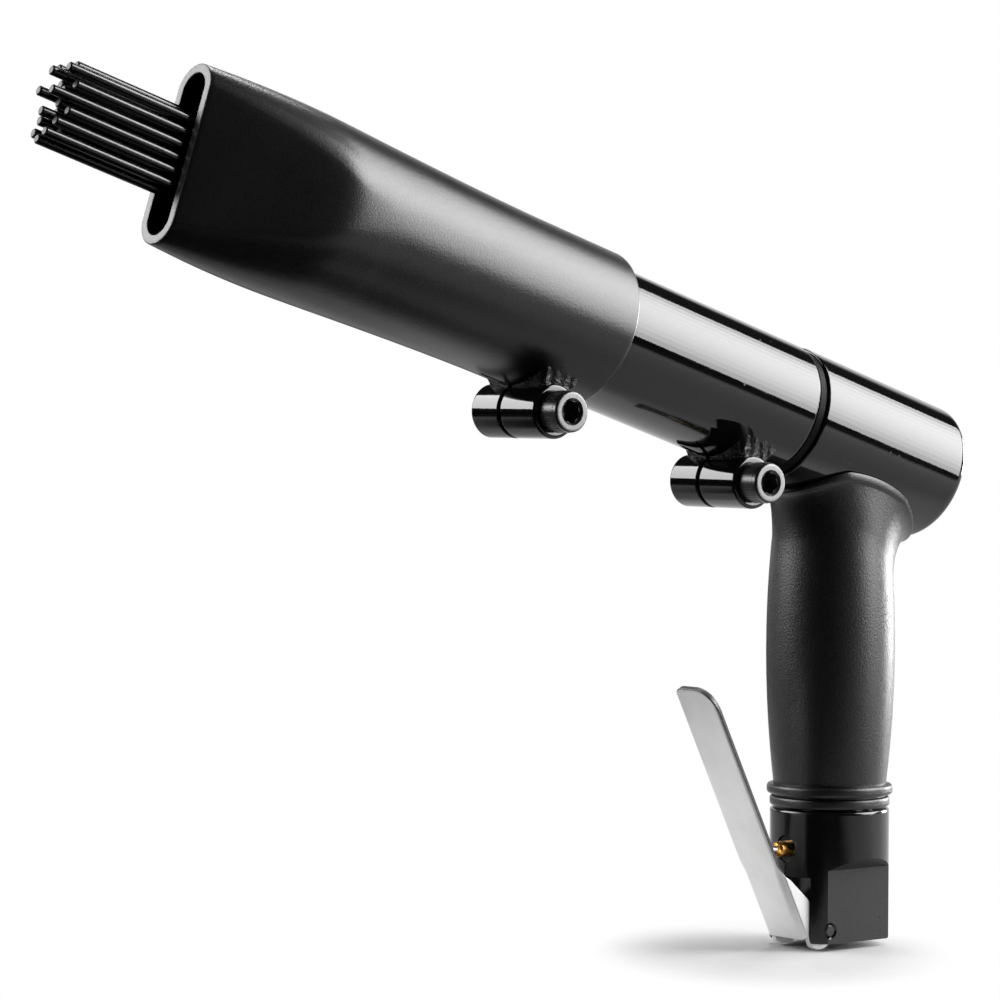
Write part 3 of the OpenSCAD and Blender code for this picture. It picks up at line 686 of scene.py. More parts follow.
class Piece:
    """One object of the tool, from its first form to its ride on a body."""

    def __init__(self, name: str, place: Matrix | None = None) -> None:
        """Names the piece and says where its own frame stands, in millimetres.

        Args:
            name: The object's name.
            place: The piece's frame, or nothing for the tool's own.
        """
        self.name = name
        self.place = place or Matrix.Identity(4)
        self.bm = bmesh.new()
        self.cutters: list[Form] = []

    def add(
        self, form: Form, place: Matrix | None = None, coat: int | None = None
    ) -> "Piece":
        """Joins a form to the piece.

        Args:
            form: The form, which is used up.
            place: Where it goes in the piece's frame.
            coat: Index of its finish, or nothing to keep its faces' own.

        Returns:
            The piece.
        """
        if place is not None:
            form.transform(place)
        if coat is not None:
            for face in form.faces:
                face.material_index = coat
        carrier = bpy.data.meshes.new("carrier")
        form.to_mesh(carrier)
        form.free()
        self.bm.from_mesh(carrier)
        bpy.data.meshes.remove(carrier)
        return self

    def cut(self, form: Form, place: Matrix | None = None, coat: int = 0) -> "Piece":
        """Keeps a form that is cut away at the end and leaves faces of one finish.

        Args:
            form: The form, which is used up.
            place: Where it goes in the piece's frame.
            coat: Index of the finish on the cut.

        Returns:
            The piece.
        """
        if place is not None:
            form.transform(place)
        for face in form.faces:
            face.material_index = coat
        self.cutters.append(form)
        return self

    def _carve(self, obj: bpy.types.Object) -> None:
        """Cuts the kept forms out of the piece, one after the other.

        Args:
            obj: The object that is cut.
        """
        tools: list[bpy.types.Object] = []
        for form in self.cutters:
            mesh = bpy.data.meshes.new("cutter")
            form.to_mesh(mesh)
            form.free()
            tool = bpy.data.objects.new("cutter", mesh)
            bpy.context.scene.collection.objects.link(tool)
            tools.append(tool)
            step = obj.modifiers.new("cut", "BOOLEAN")
            step.operation = "DIFFERENCE"
            step.solver = "EXACT"
            step.object = tool
        graph = bpy.context.evaluated_depsgraph_get()
        carved = bpy.data.meshes.new_from_object(obj.evaluated_get(graph))
        obj.modifiers.clear()
        obj.data = carved
        for tool in tools:
            bpy.data.meshes.remove(tool.data)

    def finish(
        self,
        coats: Sequence[Coat],
        body: str,
        replaces: Sequence[str] = (),
        sharp: float = 32.0,
        bevel: float = 0.0,
    ) -> bpy.types.Object:
        """Hands the piece over to the frame.

        Args:
            coats: Finishes, in the order of the faces' indices.
            body: The body that it rides on.
            replaces: CAD nodes that it stands for.
            sharp: Angle over which an edge stays sharp, in degrees.
            bevel: Width of a bevel on the sharp edges, in millimetres.

        Returns:
            The finished object.
        """
        mesh = bpy.data.meshes.new(self.name)
        self.bm.to_mesh(mesh)
        self.bm.free()
        obj = bpy.data.objects.new(self.name, mesh)
        bpy.context.scene.collection.objects.link(obj)
        for coat in coats:
            mesh.materials.append(coat.material())
        if self.cutters:
            self._carve(obj)
        obj.data.name = self.name
        obj.data.transform(Matrix.Scale(MM, 4) @ self.place)
        obj.data.shade_smooth()
        obj.data.set_sharp_from_angle(angle=math.radians(sharp))
        if bevel:
            edge = obj.modifiers.new("edge", "BEVEL")
            edge.width = bevel * MM
            edge.segments = 2
            edge.limit_method = "ANGLE"
            edge.angle_limit = math.radians(sharp + 4)
            edge.harden_normals = True
        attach(obj, body)
        if replaces:
            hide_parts(*replaces)
        LOG.info("%s rides on %s, %d faces", self.name, body, len(obj.data.polygons))
        return obj


# Turns that lay Z along Y or X, or stand an outline upright
ALONG_Y = Matrix.Rotation(-math.pi / 2, 4, "X")
ALONG_X = Matrix.Rotation(math.pi / 2, 4, "Y")
UPRIGHT = Matrix.Rotation(math.pi / 2, 4, "X")


@dataclass(frozen=True)
class Barrel:
    """The barrel's own frame: x is up, y is the tool's right side and z is forward."""

    tilt: float = BARREL_TILT
    height: float = 168.4

    def frame(self) -> Matrix:
        """Returns the barrel's frame in the tool's frame."""
        turn = Matrix.Rotation(math.radians(self.tilt - 90), 4, "Y")
        return Matrix.Translation((0, 0, self.height)) @ turn

    def under(self, x: float, y: float, radius: float) -> float:
        """Returns the height at which a point in plan lies on the barrel's underside.

        Args:
            x: Place along the tool.
            y: Place across the tool.
            radius: Radius round the barrel axis.

        Returns:
            The height.
        """
        tilt = math.radians(self.tilt)
        drop = math.sqrt(max(0.0, radius * radius - y * y))
        return self.height + (-drop - x * math.sin(tilt)) / math.cos(tilt)


@dataclass
class ClampLug:
    """A split lug that is welded under a tube, with its screw."""

    barrel: Barrel
    name: str
    tube_d: float
    at: float
    body: str
    coat: Coat
    slot: str
    diameter: float = 17.2
    near: float = 18.0
    far: float = 14.2
    slit: float = 1.6
    sink: float = 2.2
    slit_run: float = 10.0
    screw_d: float = 8.0
    head_d: float = 13.0
    head_h: float = 8.4
    socket: float = 6.6
    socket_depth: float = 5.0
    sink_d: float = 9.6
    sink_floor_d: float = 6.8
    sink_h: float = 0.9
    knurl_from: float = 2.0
    knurl_to: float = 1.4
    knurl_h: float = 0.13
    weld_near: float = 16.2
    weld_far: float = 12.4
    weld_low_w: float = 14.6
    weld_top_w: float = 16.4
    weld_hollow: float = 6.2
    weld_spread: float = 1.2
    weld_dip: float = 1.3
    ripple: float = 2.2

    @property
    def drop(self) -> float:
        """Depth of the lug's axis under the barrel axis."""
        return self.tube_d / 2 + self.diameter / 2 - self.sink

    def slit_form(self, back: float) -> Form:
        """Returns the slit in the tube, from its rear edge to beyond the lug.

        Args:
            back: Rear edge of the tube.

        Returns:
            The form to cut.
        """
        half = self.slit / 2
        end = self.at + self.diameter / 2 + self.slit_run
        return Shape.block((-self.tube_d / 2 - 5, -half, back - 1), (-self.tube_d / 4, half, end))

    def _half(self, length: float, bore: float, outer: float, inner: float) -> Form:
        """Returns one half of the lug on Z, with a rounding at each end.

        Args:
            length: Length of the half.
            bore: Radius of its bore.
            outer: Rounding at its start.
            inner: Rounding at its end.

        Returns:
            The half.
        """
        r = self.diameter / 2
        corners = [(bore, 0.0), (r, 0.0), (r, length), (bore, length)]
        return Shape.turned(Shape.rounded(corners, {1: outer, 2: inner}), 96)

    def _weld(self, low: float, high: float, seed: float) -> Form:
        """Returns a lumpy fillet between lug and tube, from y low to y high.

        Args:
            low: Start across the tool.
            high: End across the tool.
            seed: Shift of the noise, so that no two welds are alike.

        Returns:
            The fillet.
        """
        bm = bmesh.new()
        bmesh.ops.create_cube(bm, size=1.0)
        bmesh.ops.subdivide_edges(bm, edges=bm.edges, cuts=30, use_grid_fill=True)
        radius = self.tube_d / 2
        for v in bm.verts:
            across, along, rise = v.co.z, v.co.y + 0.5, v.co.x + 0.5
            waist = math.sin(math.pi * rise)
            width = mix(self.weld_low_w, self.weld_top_w, rise) - self.weld_hollow * waist
            spread = self.weld_spread * rise
            inward = 1 if along < 0.5 else -1
            y = mix(low - spread, high + spread, along)
            y += inward * self.weld_dip * waist * abs(along - 0.5) * 2
            roof = -math.sqrt(max(1.0, radius * radius - y * y)) + 0.9
            z = across * width
            spot = Vector((y * 0.55 + seed, z * 0.55, rise * 5))
            wave = math.sin(TAU * (y + z * 0.6) / self.ripple + 2 * rise + seed)
            lump = noise.noise(spot) * 0.75 + 0.42 * wave
            swell = math.copysign(lump * 0.8, across) * min(1, abs(across) * 3)
            v.co = (mix(-self.drop + 2, roof, rise), y, z + swell)
            v.co.y += lump * 0.5 * inward * (abs(along - 0.5) > 0.42)
        axes = {f"use_axis_{axis}": True for axis in "xyz"}
        bmesh.ops.smooth_vert(bm, verts=bm.verts, factor=0.35, **axes)
        bmesh.ops.recalc_face_normals(bm, faces=bm.faces)
        return bm

    def build(self) -> None:
        """Makes both halves and the weld under them."""
        piece = Piece(self.name + "_lug", self.barrel.frame())
        gap = self.slit / 2
        near = Matrix.Translation((-self.drop, -self.near, self.at)) @ ALONG_Y
        far = Matrix.Translation((-self.drop, gap, self.at)) @ ALONG_Y
        piece.add(self._half(self.near - gap, self.screw_d / 2 + 0.4, 0.9, 0.35), near, 0)
        piece.add(self._half(self.far - gap, self.screw_d / 2 + 0.03, 0.35, 0.8), far, 0)
        shift = Matrix.Translation((0, 0, self.at))
        piece.add(self._weld(-self.weld_near, -gap, 3.1), shift, 1)
        piece.add(self._weld(gap, self.weld_far, 8.7), shift, 1)
        piece.finish([self.coat, Coat.WELD], self.body)

    def screw(self) -> None:
        """Makes the socket head cap screw, with a straight knurl round its head."""
        place = Matrix.Translation((-self.drop, -self.near, self.at)) @ ALONG_Y
        piece = Piece(self.name + "_screw_piece", self.barrel.frame() @ place)
        r, top, end = self.head_d / 2, -self.head_h, self.near + self.far - 1.0
        s, low, high = self.screw_d / 2, top + self.knurl_from, -self.knurl_to
        corners = [(0, top), (r, top), (r, low), (r, high), (r, 0), (s, 0), (s, end), (0, end)]
        form = Shape.turned(Shape.rounded(corners, {1: 0.9, 4: 0.5, 6: 0.7}), 96)
        self._knurl(form, low, high, r)
        Shape.second_coat(form, lambda z: z < top + 0.12)
        piece.add(form)
        piece.cut(Shape.prism(self.socket / math.sqrt(3), top - 1, top + self.socket_depth, 6))
        over, floor = top - 0.5, top + self.sink_h
        cone = [(0, over), (self.sink_d / 2, over), (self.sink_floor_d / 2, floor), (0, floor)]
        piece.cut(Shape.turned(cone, 48))
        replaced = [self.name + "_screw"]
        piece.finish([Coat.SCREW, Coat.WORN], self.body, replaced)

    def _knurl(self, form: Form, low: float, high: float, radius: float) -> None:
        """Raises every other face of the head's side.

        Args:
            form: The turned screw.
            low: Start of the knurl.
            high: End of the knurl.
            radius: Radius of the head.
        """
        side = []
        for face in form.faces:
            middle = face.calc_center_median()
            if low < middle.z < high and middle.xy.length > radius * 0.98:
                side.append((math.atan2(middle.y, middle.x), face))
        side.sort(key=lambda item: item[0])
        picked = [face for i, (_, face) in enumerate(side) if i % 2 == 0]
        for face in bmesh.ops.extrude_discrete_faces(form, faces=picked)["faces"]:
            middle = face.calc_center_median()
            away = Vector((middle.x, middle.y, 0)).normalized()
            space = Matrix.Translation(-middle)
            bmesh.ops.translate(form, verts=face.verts, vec=away * self.knurl_h)
            bmesh.ops.scale(form, verts=face.verts, vec=(1, 1, 0.95), space=space)


@dataclass
class NeedleTube:
    """The blackened tube round the needles, pressed flat towards its mouth."""

    barrel: Barrel
    lug: ClampLug
    diameter: float = NEEDLE_TUBE_D
    wall: float = 3.0
    back: float = 112.5
    front: float = 276.0
    flat_len: float = 48.0
    spread_at: float = 150.2
    belly: float = 2.8
    mouth_h: float = 56.6
    mouth_w: float = 17.0
    chamfer: float = 0.8
    rim_round: float = 0.4
    steps: int = 180
    flat_turn: float = math.radians(8)
    soft: float = 0.1

    def _section(self) -> list[Point]:
        """Returns the half section of the tube before it is pressed.

        Returns:
            Points of radius and height, out along the outside and back inside.
        """
        r, bore, rim = self.diameter / 2, self.diameter / 2 - self.wall, self.rim_round
        start = self.front - self.flat_len
        rows = [mix(self.spread_at - 6, start - 17, k / 12) for k in range(12)]
        rows += [start + self.flat_len * mix(-0.35, 1, k / 40) for k in range(40)]
        arc = [(math.sin(a), math.cos(a)) for a in (0, math.pi / 6, math.pi / 3, math.pi / 2)]
        outer = [(r - self.chamfer, self.back), (r - 0.15, self.back + 0.65), (r, self.back + 1.1)]
        outer += [(r, mix(self.back + 2, self.spread_at - 8, k / 4)) for k in range(5)]
        outer += [(r, z) for z in rows]
        outer += [(r - rim * (1 - c), self.front - rim * (1 - s)) for s, c in arc]
        inner = [(bore + rim * (1 - c), self.front - rim * (1 - s)) for s, c in reversed(arc)]
        inner += [(bore, z) for z in reversed(rows)]
        inner += [(bore, self.back + 0.6), (bore + 0.5, self.back)]
        return outer + inner

    def _press(self, co: Vector) -> Vector:
        """Returns where a point of the round tube goes when its end is pressed flat.

        Args:
            co: The point on the round tube.

        Returns:
            The point on the pressed tube.
        """
        r = self.diameter / 2
        u = self._start((co.z - self.spread_at) / (self.front - self.spread_at), 0.04)
        t = self._start((co.z - self.front + self.flat_len) / self.flat_len, self.soft)
        turn = math.atan2(co.x, co.y)
        inset = r - co.xy.length
        b = mix(r, self.mouth_w / 2, t) - inset
        h = mix(r, self.mouth_h / 2, u) + self.belly / 2 * math.sin(math.pi * u * u) - inset
        f = (self.mouth_h - self.mouth_w) / 2 * math.sqrt(t)
        side = turn if abs(turn) < math.pi / 2 else math.copysign(math.pi, turn) - turn
        share = max(-1.0, min(1.0, side / self.flat_turn))
        return Vector((f * share + (h - f) * math.sin(turn), b * math.cos(turn), co.z))

    @staticmethod
    def _start(t: float, soft: float) -> float:
        """Returns how far a change has gone, with a soft start at 0."""
        hinge = [(x + math.sqrt(x * x + soft * soft)) / 2 for x in (-0.36, t, 1.0)]
        return max(0.0, (hinge[1] - hinge[0]) / (hinge[2] - hinge[0]))

    def build(self) -> None:
        """Makes the tube, its bare cut rim, its slit and its lug."""
        form = Shape.turned(self._section(), self.steps, math.pi / self.steps)
        lip = self.front - self.rim_round * 0.55
        Shape.second_coat(form, lambda z: z > lip)
        for v in form.verts:
            v.co = self._press(v.co)
        bmesh.ops.recalc_face_normals(form, faces=form.faces)
        piece = Piece("needle_tube_skin", self.barrel.frame())
        piece.add(form).cut(self.lug.slit_form(self.back))
        piece.finish([Coat.OXIDE, Coat.RIM], "nozzle", ["needle_tube"])
        self.lug.build()
        self.lug.screw()


@dataclass
class Housing:
    """The glossy tube round the striker, with the seam ring and the rear head behind it."""

    barrel: Barrel
    lug: ClampLug
    diameter: float = HOUSING_D
    wall: float = 2.6
    back: float = 28.6
    length: float = 142.0
    head_d: float = 46.6
    head_back: float = -42.0
    head_front: float = 24.8
    head_round: float = 3.0
    head_bore: float = 36.06
    head_wall: float = 10.0
    ring_d: float = 45.0
    stem_d: float = 30.0
    stem_foot: float = 44.0
    stem_top: float = 147.0
    air_way: float = 12.0

    def build(self) -> None:
        """Makes tube, ring and head."""
        self._tube()
        self._ring()
        self._head()
        self.lug.build()
        self.lug.screw()

    def _tube(self) -> None:
        """Makes the housing tube with its slit."""
        r, front = self.diameter / 2, self.back + self.length
        bore = r - self.wall
        corners = [(bore, self.back), (r, self.back), (r, front), (bore, front)]
        section = Shape.rounded(corners, {0: 0.3, 1: 0.7, 2: 0.5, 3: 0.3})
        piece = Piece("housing_skin", self.barrel.frame())
        piece.add(Shape.turned(section, 192)).cut(self.lug.slit_form(self.back))
        piece.finish([Coat.GLOSS], "tool", ["housing_tube"])

    def _ring(self) -> None:
        """Makes the black ring in the seam."""
        r, bore = self.ring_d / 2, self.diameter / 2 - self.wall
        low, high = self.head_front, self.back
        corners = [(bore, low), (r, low), (r, high), (bore, high)]
        piece = Piece("seam_ring_band", self.barrel.frame())
        piece.add(Shape.turned(Shape.rounded(corners, {1: 0.8, 2: 0.8}), 160))
        piece.finish([Coat.SEAL], "tool", ["seam_ring"])

    def _head(self) -> None:
        """Makes the rear head, closed behind, with the stem in the grip."""
        r, bore, floor = self.head_d / 2, self.head_bore / 2, self.head_back + self.head_wall
        corners = [
            (0, self.head_back), (r, self.head_back), (r, self.head_front),
            (bore, self.head_front), (bore, floor), (0, floor),
        ]
        section = Shape.rounded(corners, {1: self.head_round, 2: 0.7, 3: 0.3}, 7)
        piece = Piece("rear_head_shell", self.barrel.frame())
        piece.add(Shape.turned(section, 192))
        s, way, low, high = self.stem_d / 2, self.air_way / 2, self.stem_foot, self.stem_top
        stem = Shape.turned([(way, low), (s, low), (s, high), (way, high)], 96)
        piece.add(stem, self.barrel.frame().inverted())
        piece.finish([Coat.GLOSS], "tool", ["rear_head"])


@dataclass
class NeedleBundle:
    """Nineteen needles in three columns, with uneven tips."""

    barrel: Barrel
    diameter: float = 3.0
    head_d: float = 3.8
    head_h: float = 2.5
    back: float = 95.3
    pitch: float = 4.1
    columns: float = 3.6
    tip: float = 320.0
    spread: float = 4.0
    blunt: float = 0.45

    def build(self) -> None:
        """Makes the needles as one piece."""
        piece = Piece("needle_rods", self.barrel.frame())
        count = 0
        for column in (-1, 0, 1):
            number = 7 if column == 0 else 6
            for i in range(number):
                reach = self.tip + self.spread * math.sin(math.radians(count * 137.5 + 40))
                form = self._needle(reach - self.back)
                at = ((i - (number - 1) / 2) * self.pitch, column * self.columns, self.back)
                piece.add(form, Matrix.Translation(at))
                count += 1
        piece.finish([Coat.NEEDLE, Coat.TIP], "needle_pack", ["needles"])

    def _needle(self, length: float) -> Form:
        """Returns one needle on Z, with a blunt bright tip.

        Args:
            length: Length with the head.

        Returns:
            The needle.
        """
        r = self.diameter / 2
        head, top = self.head_d / 2, self.head_h
        corners = [
            (0, 0), (head, 0), (head, top), (r, top + 0.3),
            (r, length * 0.6), (r, length - self.blunt), (r - 0.4, length), (0, length),
        ]
        form = Shape.turned(Shape.rounded(corners, {6: 0.3}, 3), 28)
        Shape.second_coat(form, lambda z: z > length - 0.44)
        return form


@dataclass
class Grip:
    """The rubber sleeve: two ribs, a bellied body and a flange that hugs the head."""

    barrel: Barrel
    foot: float = 44.6
    rib_h: float = 3.4
    rib_gap: float = 0.6
    lower_d: float = 40.2
    upper_d: float = 42.2
    groove: float = 1.2
    belly_d: float = 43.2
    belly_at: float = 98.0
    curve: float = 390.0
    saddle_r: float = 20.5
    saddle_front: float = 24.0
    saddle_back: float = 30.0
    saddle_t: float = 2.2
    head_r: float = 23.3
    bore: float = 15.06
    flare_h: float = 16.0
    steps: int = 144
    body_rows: tuple[float, ...] = (72, 80, 88, 96, 104, 110)
    lip: tuple[Point, ...] = (
        (0.15, 2.05), (0.0, 1.7), (0.0, 1.3), (0.09, 0.85), (0.32, 0.47), (0.68, 0.2), (1.1, 0.06),
    )

    def radius(self, z: float) -> float:
        """Returns the body's radius at a height."""
        return self.belly_d / 2 - self.curve + math.sqrt(self.curve**2 - (z - self.belly_at) ** 2)

    def _foot(self) -> list[Point]:
        """Returns the section of ribs and body below the flare.

        Returns:
            Points of radius and height.
        """
        base, h, gap = self.foot, self.rib_h, self.rib_gap
        low, high, neck = self.lower_d / 2, self.upper_d / 2, self.lower_d / 2 - self.groove
        two, top = base + h + gap, base + 2 * (h + gap)
        corners = [
            (self.bore, base), (low, base), (low, base + h), (neck, base + h), (neck, two),
            (high, two), (high, two + h), (neck, two + h), (neck, top), (self.radius(top), top),
        ]
        line = Shape.rounded(corners, {1: 1.0, 2: 1.0, 5: 1.1, 6: 1.1}, 5)
        rows = [top + rise for rise in (1, 3, 7, 12)] + list(self.body_rows)
        return line + [(self.radius(z), z) for z in rows]

    def _outline(self, turn: float, inset: float) -> Vector:
        """Returns the flange's edge in plan, at a turn round the handle.

        Args:
            turn: Angle round the handle.
            inset: Distance inside the edge.

        Returns:
            The point in plan.
        """
        middle = (self.saddle_back - self.saddle_front) / 2
        half = (self.saddle_back + self.saddle_front) / 2 - self.saddle_r
        shift = middle + half * max(-1.0, min(1.0, math.cos(turn) / 0.3))
        r = self.saddle_r - inset
        return Vector((shift + r * math.cos(turn), r * math.sin(turn)))

    def _flare(self, turn: float, share: float) -> Vector:
        """Returns a point of the flare, from the body at 0 to the flange at 1.

        Args:
            turn: Angle round the handle.
            share: How far up the flare it is.

        Returns:
            The point.
        """
        edge = self._outline(turn, 0.5)
        top = self.barrel.under(edge.x, edge.y, self.head_r + self.saddle_t)
        low = top - self.flare_h
        body = self.radius(low)
        start = Vector((body * math.cos(turn), body * math.sin(turn)))
        flat = start.lerp(edge, 1 - math.cos(share * math.pi / 2))
        return Vector((flat.x, flat.y, mix(low, top, math.sin(share * math.pi / 2))))

    def _stations(self) -> list[Callable[[float], Vector]]:
        """Returns the rings of the sleeve as functions of the turn, from foot to bore.

        Returns:
            One function for each ring.
        """
        rings: list[Callable[[float], Vector]] = []
        for r, z in self._foot():
            rings.append(lambda a, r=r, z=z: Vector((r * math.cos(a), r * math.sin(a), z)))
        for k in range(3):
            rings.append(lambda a, k=k: self._climb(a, (k + 1) / 4))
        for k in range(13):
            rings.append(lambda a, k=k: self._flare(a, k / 12))
        for inset, over in self.lip:
            rings.append(lambda a, i=inset, o=over: self._on_head(self._outline(a, i), o))
        for share in (0.35, 0.7, 1.0):
            rings.append(lambda a, s=share: self._inward(a, s))
        return rings

    def _climb(self, turn: float, share: float) -> Vector:
        """Returns a point of the body between its last ring and the flare.

        Args:
            turn: Angle round the handle.
            share: How far up it is.

        Returns:
            The point.
        """
        z = mix(self.body_rows[-1], self._flare(turn, 0).z, share)
        r = self.radius(z)
        return Vector((r * math.cos(turn), r * math.sin(turn), z))

    def _on_head(self, plan: Vector, over: float) -> Vector:
        """Returns a point in plan, lifted to a distance over the head's surface."""
        return Vector((plan.x, plan.y, self.barrel.under(plan.x, plan.y, self.head_r + over)))

    def _inward(self, turn: float, share: float) -> Vector:
        """Returns a point on the head, from the flange's edge in to the bore.

        Args:
            turn: Angle round the handle.
            share: How far in it is.

        Returns:
            The point.
        """
        bore = Vector((self.bore * math.cos(turn), self.bore * math.sin(turn)))
        inset, over = self.lip[-1]
        return self._on_head(self._outline(turn, inset).lerp(bore, share), over)

    def build(self) -> None:
        """Pulls the sleeve up ring by ring and closes it through the bore."""
        bm = bmesh.new()
        turns = bm.verts.layers.float.new("turn")
        stations = self._stations()
        ring = bmesh.ops.create_circle(bm, segments=self.steps, radius=1.0)["verts"]
        first = edges = list(bm.edges)
        for v in ring:
            v[turns] = math.atan2(v.co.y, v.co.x)
            v.co = stations[0](v[turns])
        for station in stations[1:]:
            made = bmesh.ops.extrude_edge_only(bm, edges=edges)["geom"]
            edges = [g for g in made if isinstance(g, bmesh.types.BMEdge)]
            for v in made:
                if isinstance(v, bmesh.types.BMVert):
                    v.co = station(v[turns])
        bmesh.ops.bridge_loops(bm, edges=first + edges)
        bmesh.ops.recalc_face_normals(bm, faces=bm.faces)
        piece = Piece("grip_sleeve")
        piece.add(bm)
        piece.finish([Coat.RUBBER], "tool", ["grip"], 50)


@dataclass
class ValveBody:
    """The handle's foot with its wrench flats, lever slot, inlet and throttle."""

    diameter: float = 40.0
    height: float = 44.0
    chamfer: float = 0.9
    flats: float = 29.0
    flats_h: float = 24.5
    ledge: float = 4.4
    slot_w: float = 19.8
    slot_h: float = 22.0
    slot_back: float = 10.5
    pocket_r: float = 7.2
    pocket_w: float = 2.8
    pivot: Point = LEVER_PIVOT
    pin_d: float = 4.0
    spigot_d: float = 20.0
    spigot_len: float = 14.0
    inlet_d: float = 15.46
    inlet_len: float = 10.5
    inlet_bore: float = 11.4
    inlet_depth: float = 8.3
    thread_h: float = 0.75
    port_r: float = 2.5
    strainer_r: float = 4.53
    strainer_top: float = 9.5
    neck_r: float = 5.0
    chamber_r: float = 6.0
    chamber_top: float = 26.1
    pin_sink: float = 0.8
    stem_at: float = STEM_AT
    bush_d: float = 9.0
    nose_d: float = 5.4
    nose_reach: float = 24.4
    stem_bore: float = 3.3
    shoulder: float = 19.2
    bush_end: float = 7.06
    spring_d: float = 6.4
    spring_wire: float = 0.8
    spring_turns: int = 3

    def build(self) -> None:
        """Makes the body and the parts that are screwed into it."""
        self._body()
        self._inlet()
        self._nose()
        self._spring()

    def _body(self) -> None:
        """Turns the body, then cuts flats, slot, pockets and bores."""
        r, top = self.diameter / 2, self.height + self.spigot_len
        bore, s = self.inlet_d / 2, self.spigot_d / 2
        corners = [
            (bore, 0), (r, 0), (r, self.height), (s, self.height), (s, top), (self.neck_r, top),
            (self.neck_r, self.chamber_top), (self.chamber_r, self.chamber_top),
            (self.chamber_r, self.inlet_len), (bore, self.inlet_len),
        ]
        piece = Piece("valve_body_block")
        piece.add(Shape.turned(Shape.rounded(corners, {1: 0.6, 2: self.chamfer}, 3), 128))
        for side in (-1, 1):
            y, over = side * self.flats / 2, side * (r + 1)
            outline = [(y, -1), (y, self.flats_h), (over, self.flats_h + self.ledge), (over, -1)]
            turn = Matrix.Rotation(math.pi / 2, 4, "Z") @ UPRIGHT
            piece.cut(Shape.plate(outline, 80), Matrix.Translation((-40, 0, 0)) @ turn, 1)
        half = self.slot_w / 2
        piece.cut(Shape.block((-r - 1, -half, -1), (-self.slot_back, half, self.slot_h)))
        for side in (-1, 1):
            deep = self.pocket_w / 2
            at = Matrix.Translation((self.pivot[0], side * (half - deep), self.pivot[1]))
            piece.cut(Shape.prism(self.pocket_r, -deep, deep), at @ ALONG_Y)
        pin = Matrix.Translation((self.pivot[0], 0, self.pivot[1])) @ ALONG_Y
        piece.cut(Shape.prism(self.pin_d / 2 + 0.03, -25, 25, 48), pin)
        hole, face = self.pin_d / 2, self.flats / 2
        low = face - self.pin_sink
        sink = [(0, low), (hole, low), (hole + 1.0, face + 0.2), (3.0, 22), (0, 22)]
        for side in (-1, 1):
            piece.cut(Shape.turned([(x, side * z) for x, z in sink], 48), pin)
        stem = Matrix.Translation((0, 0, self.stem_at)) @ ALONG_X
        piece.cut(Shape.prism(self.bush_d / 2 + 0.03, -30, 7, 48), stem)
        coats = [Coat.FOOT, Coat.FLAT]
        piece.finish(coats, "tool", ["valve_body"], bevel=0.3)

    def _inlet(self) -> None:
        """Makes the inlet bush with a real thread wound in its bore."""
        r, bore = self.inlet_d / 2 - 0.03, self.inlet_bore / 2
        root, crest = bore + self.thread_h, 2 * self.thread_h
        corners = [
            (root, 0), (r, 0), (r, self.inlet_len), (self.port_r, self.inlet_len),
            (self.port_r, self.strainer_top), (self.strainer_r, self.strainer_top),
            (self.strainer_r, self.inlet_depth), (root, self.inlet_depth),
        ]
        piece = Piece("inlet_bush_piece")
        piece.add(Shape.turned(Shape.rounded(corners, {0: 0.4, 1: 0.5}, 3), 96))
        piece.add(Shape.coil(self.inlet_bore + crest, crest, 1.0, self.inlet_depth - 0.5, 5, 3))
        piece.finish([Coat.STEEL], "tool", ["inlet_bush"])

    def _nose(self) -> None:
        """Makes the brass bush of the throttle, with a rounded nose."""
        r, n, hole = self.bush_d / 2, self.nose_d / 2, self.stem_bore / 2
        tip, step, end = -self.nose_reach, -self.shoulder, -self.bush_end
        corners = [(hole, tip), (n, tip), (n, step), (r, step), (r, end), (hole, end)]
        form = Shape.turned(Shape.rounded(corners, {0: 0.3, 1: 1.8, 3: 0.3}, 7), 64)
        Shape.second_coat(form, lambda z: z > step - 0.2)
        piece = Piece("throttle_bush", Matrix.Translation((0, 0, self.stem_at)) @ ALONG_X)
        piece.add(form)
        piece.finish([Coat.BRASS, Coat.FOOT], "tool", ["valve_bush"])

    def _spring(self) -> None:
        """Winds the valve spring on a mesh of its own; in the tool it shortens as the ball drops.
        """
        low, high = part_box("valve_spring")
        wire, half = self.spring_wire, self.spring_wire / 2
        ends = low.z / MM + half, high.z / MM - half
        piece = Piece("valve_spring_wire")
        piece.add(Shape.coil(self.spring_d, wire, *ends, self.spring_turns))
        obj = piece.finish([Coat.STEEL], "tool", ["valve_spring"])
        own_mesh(obj)


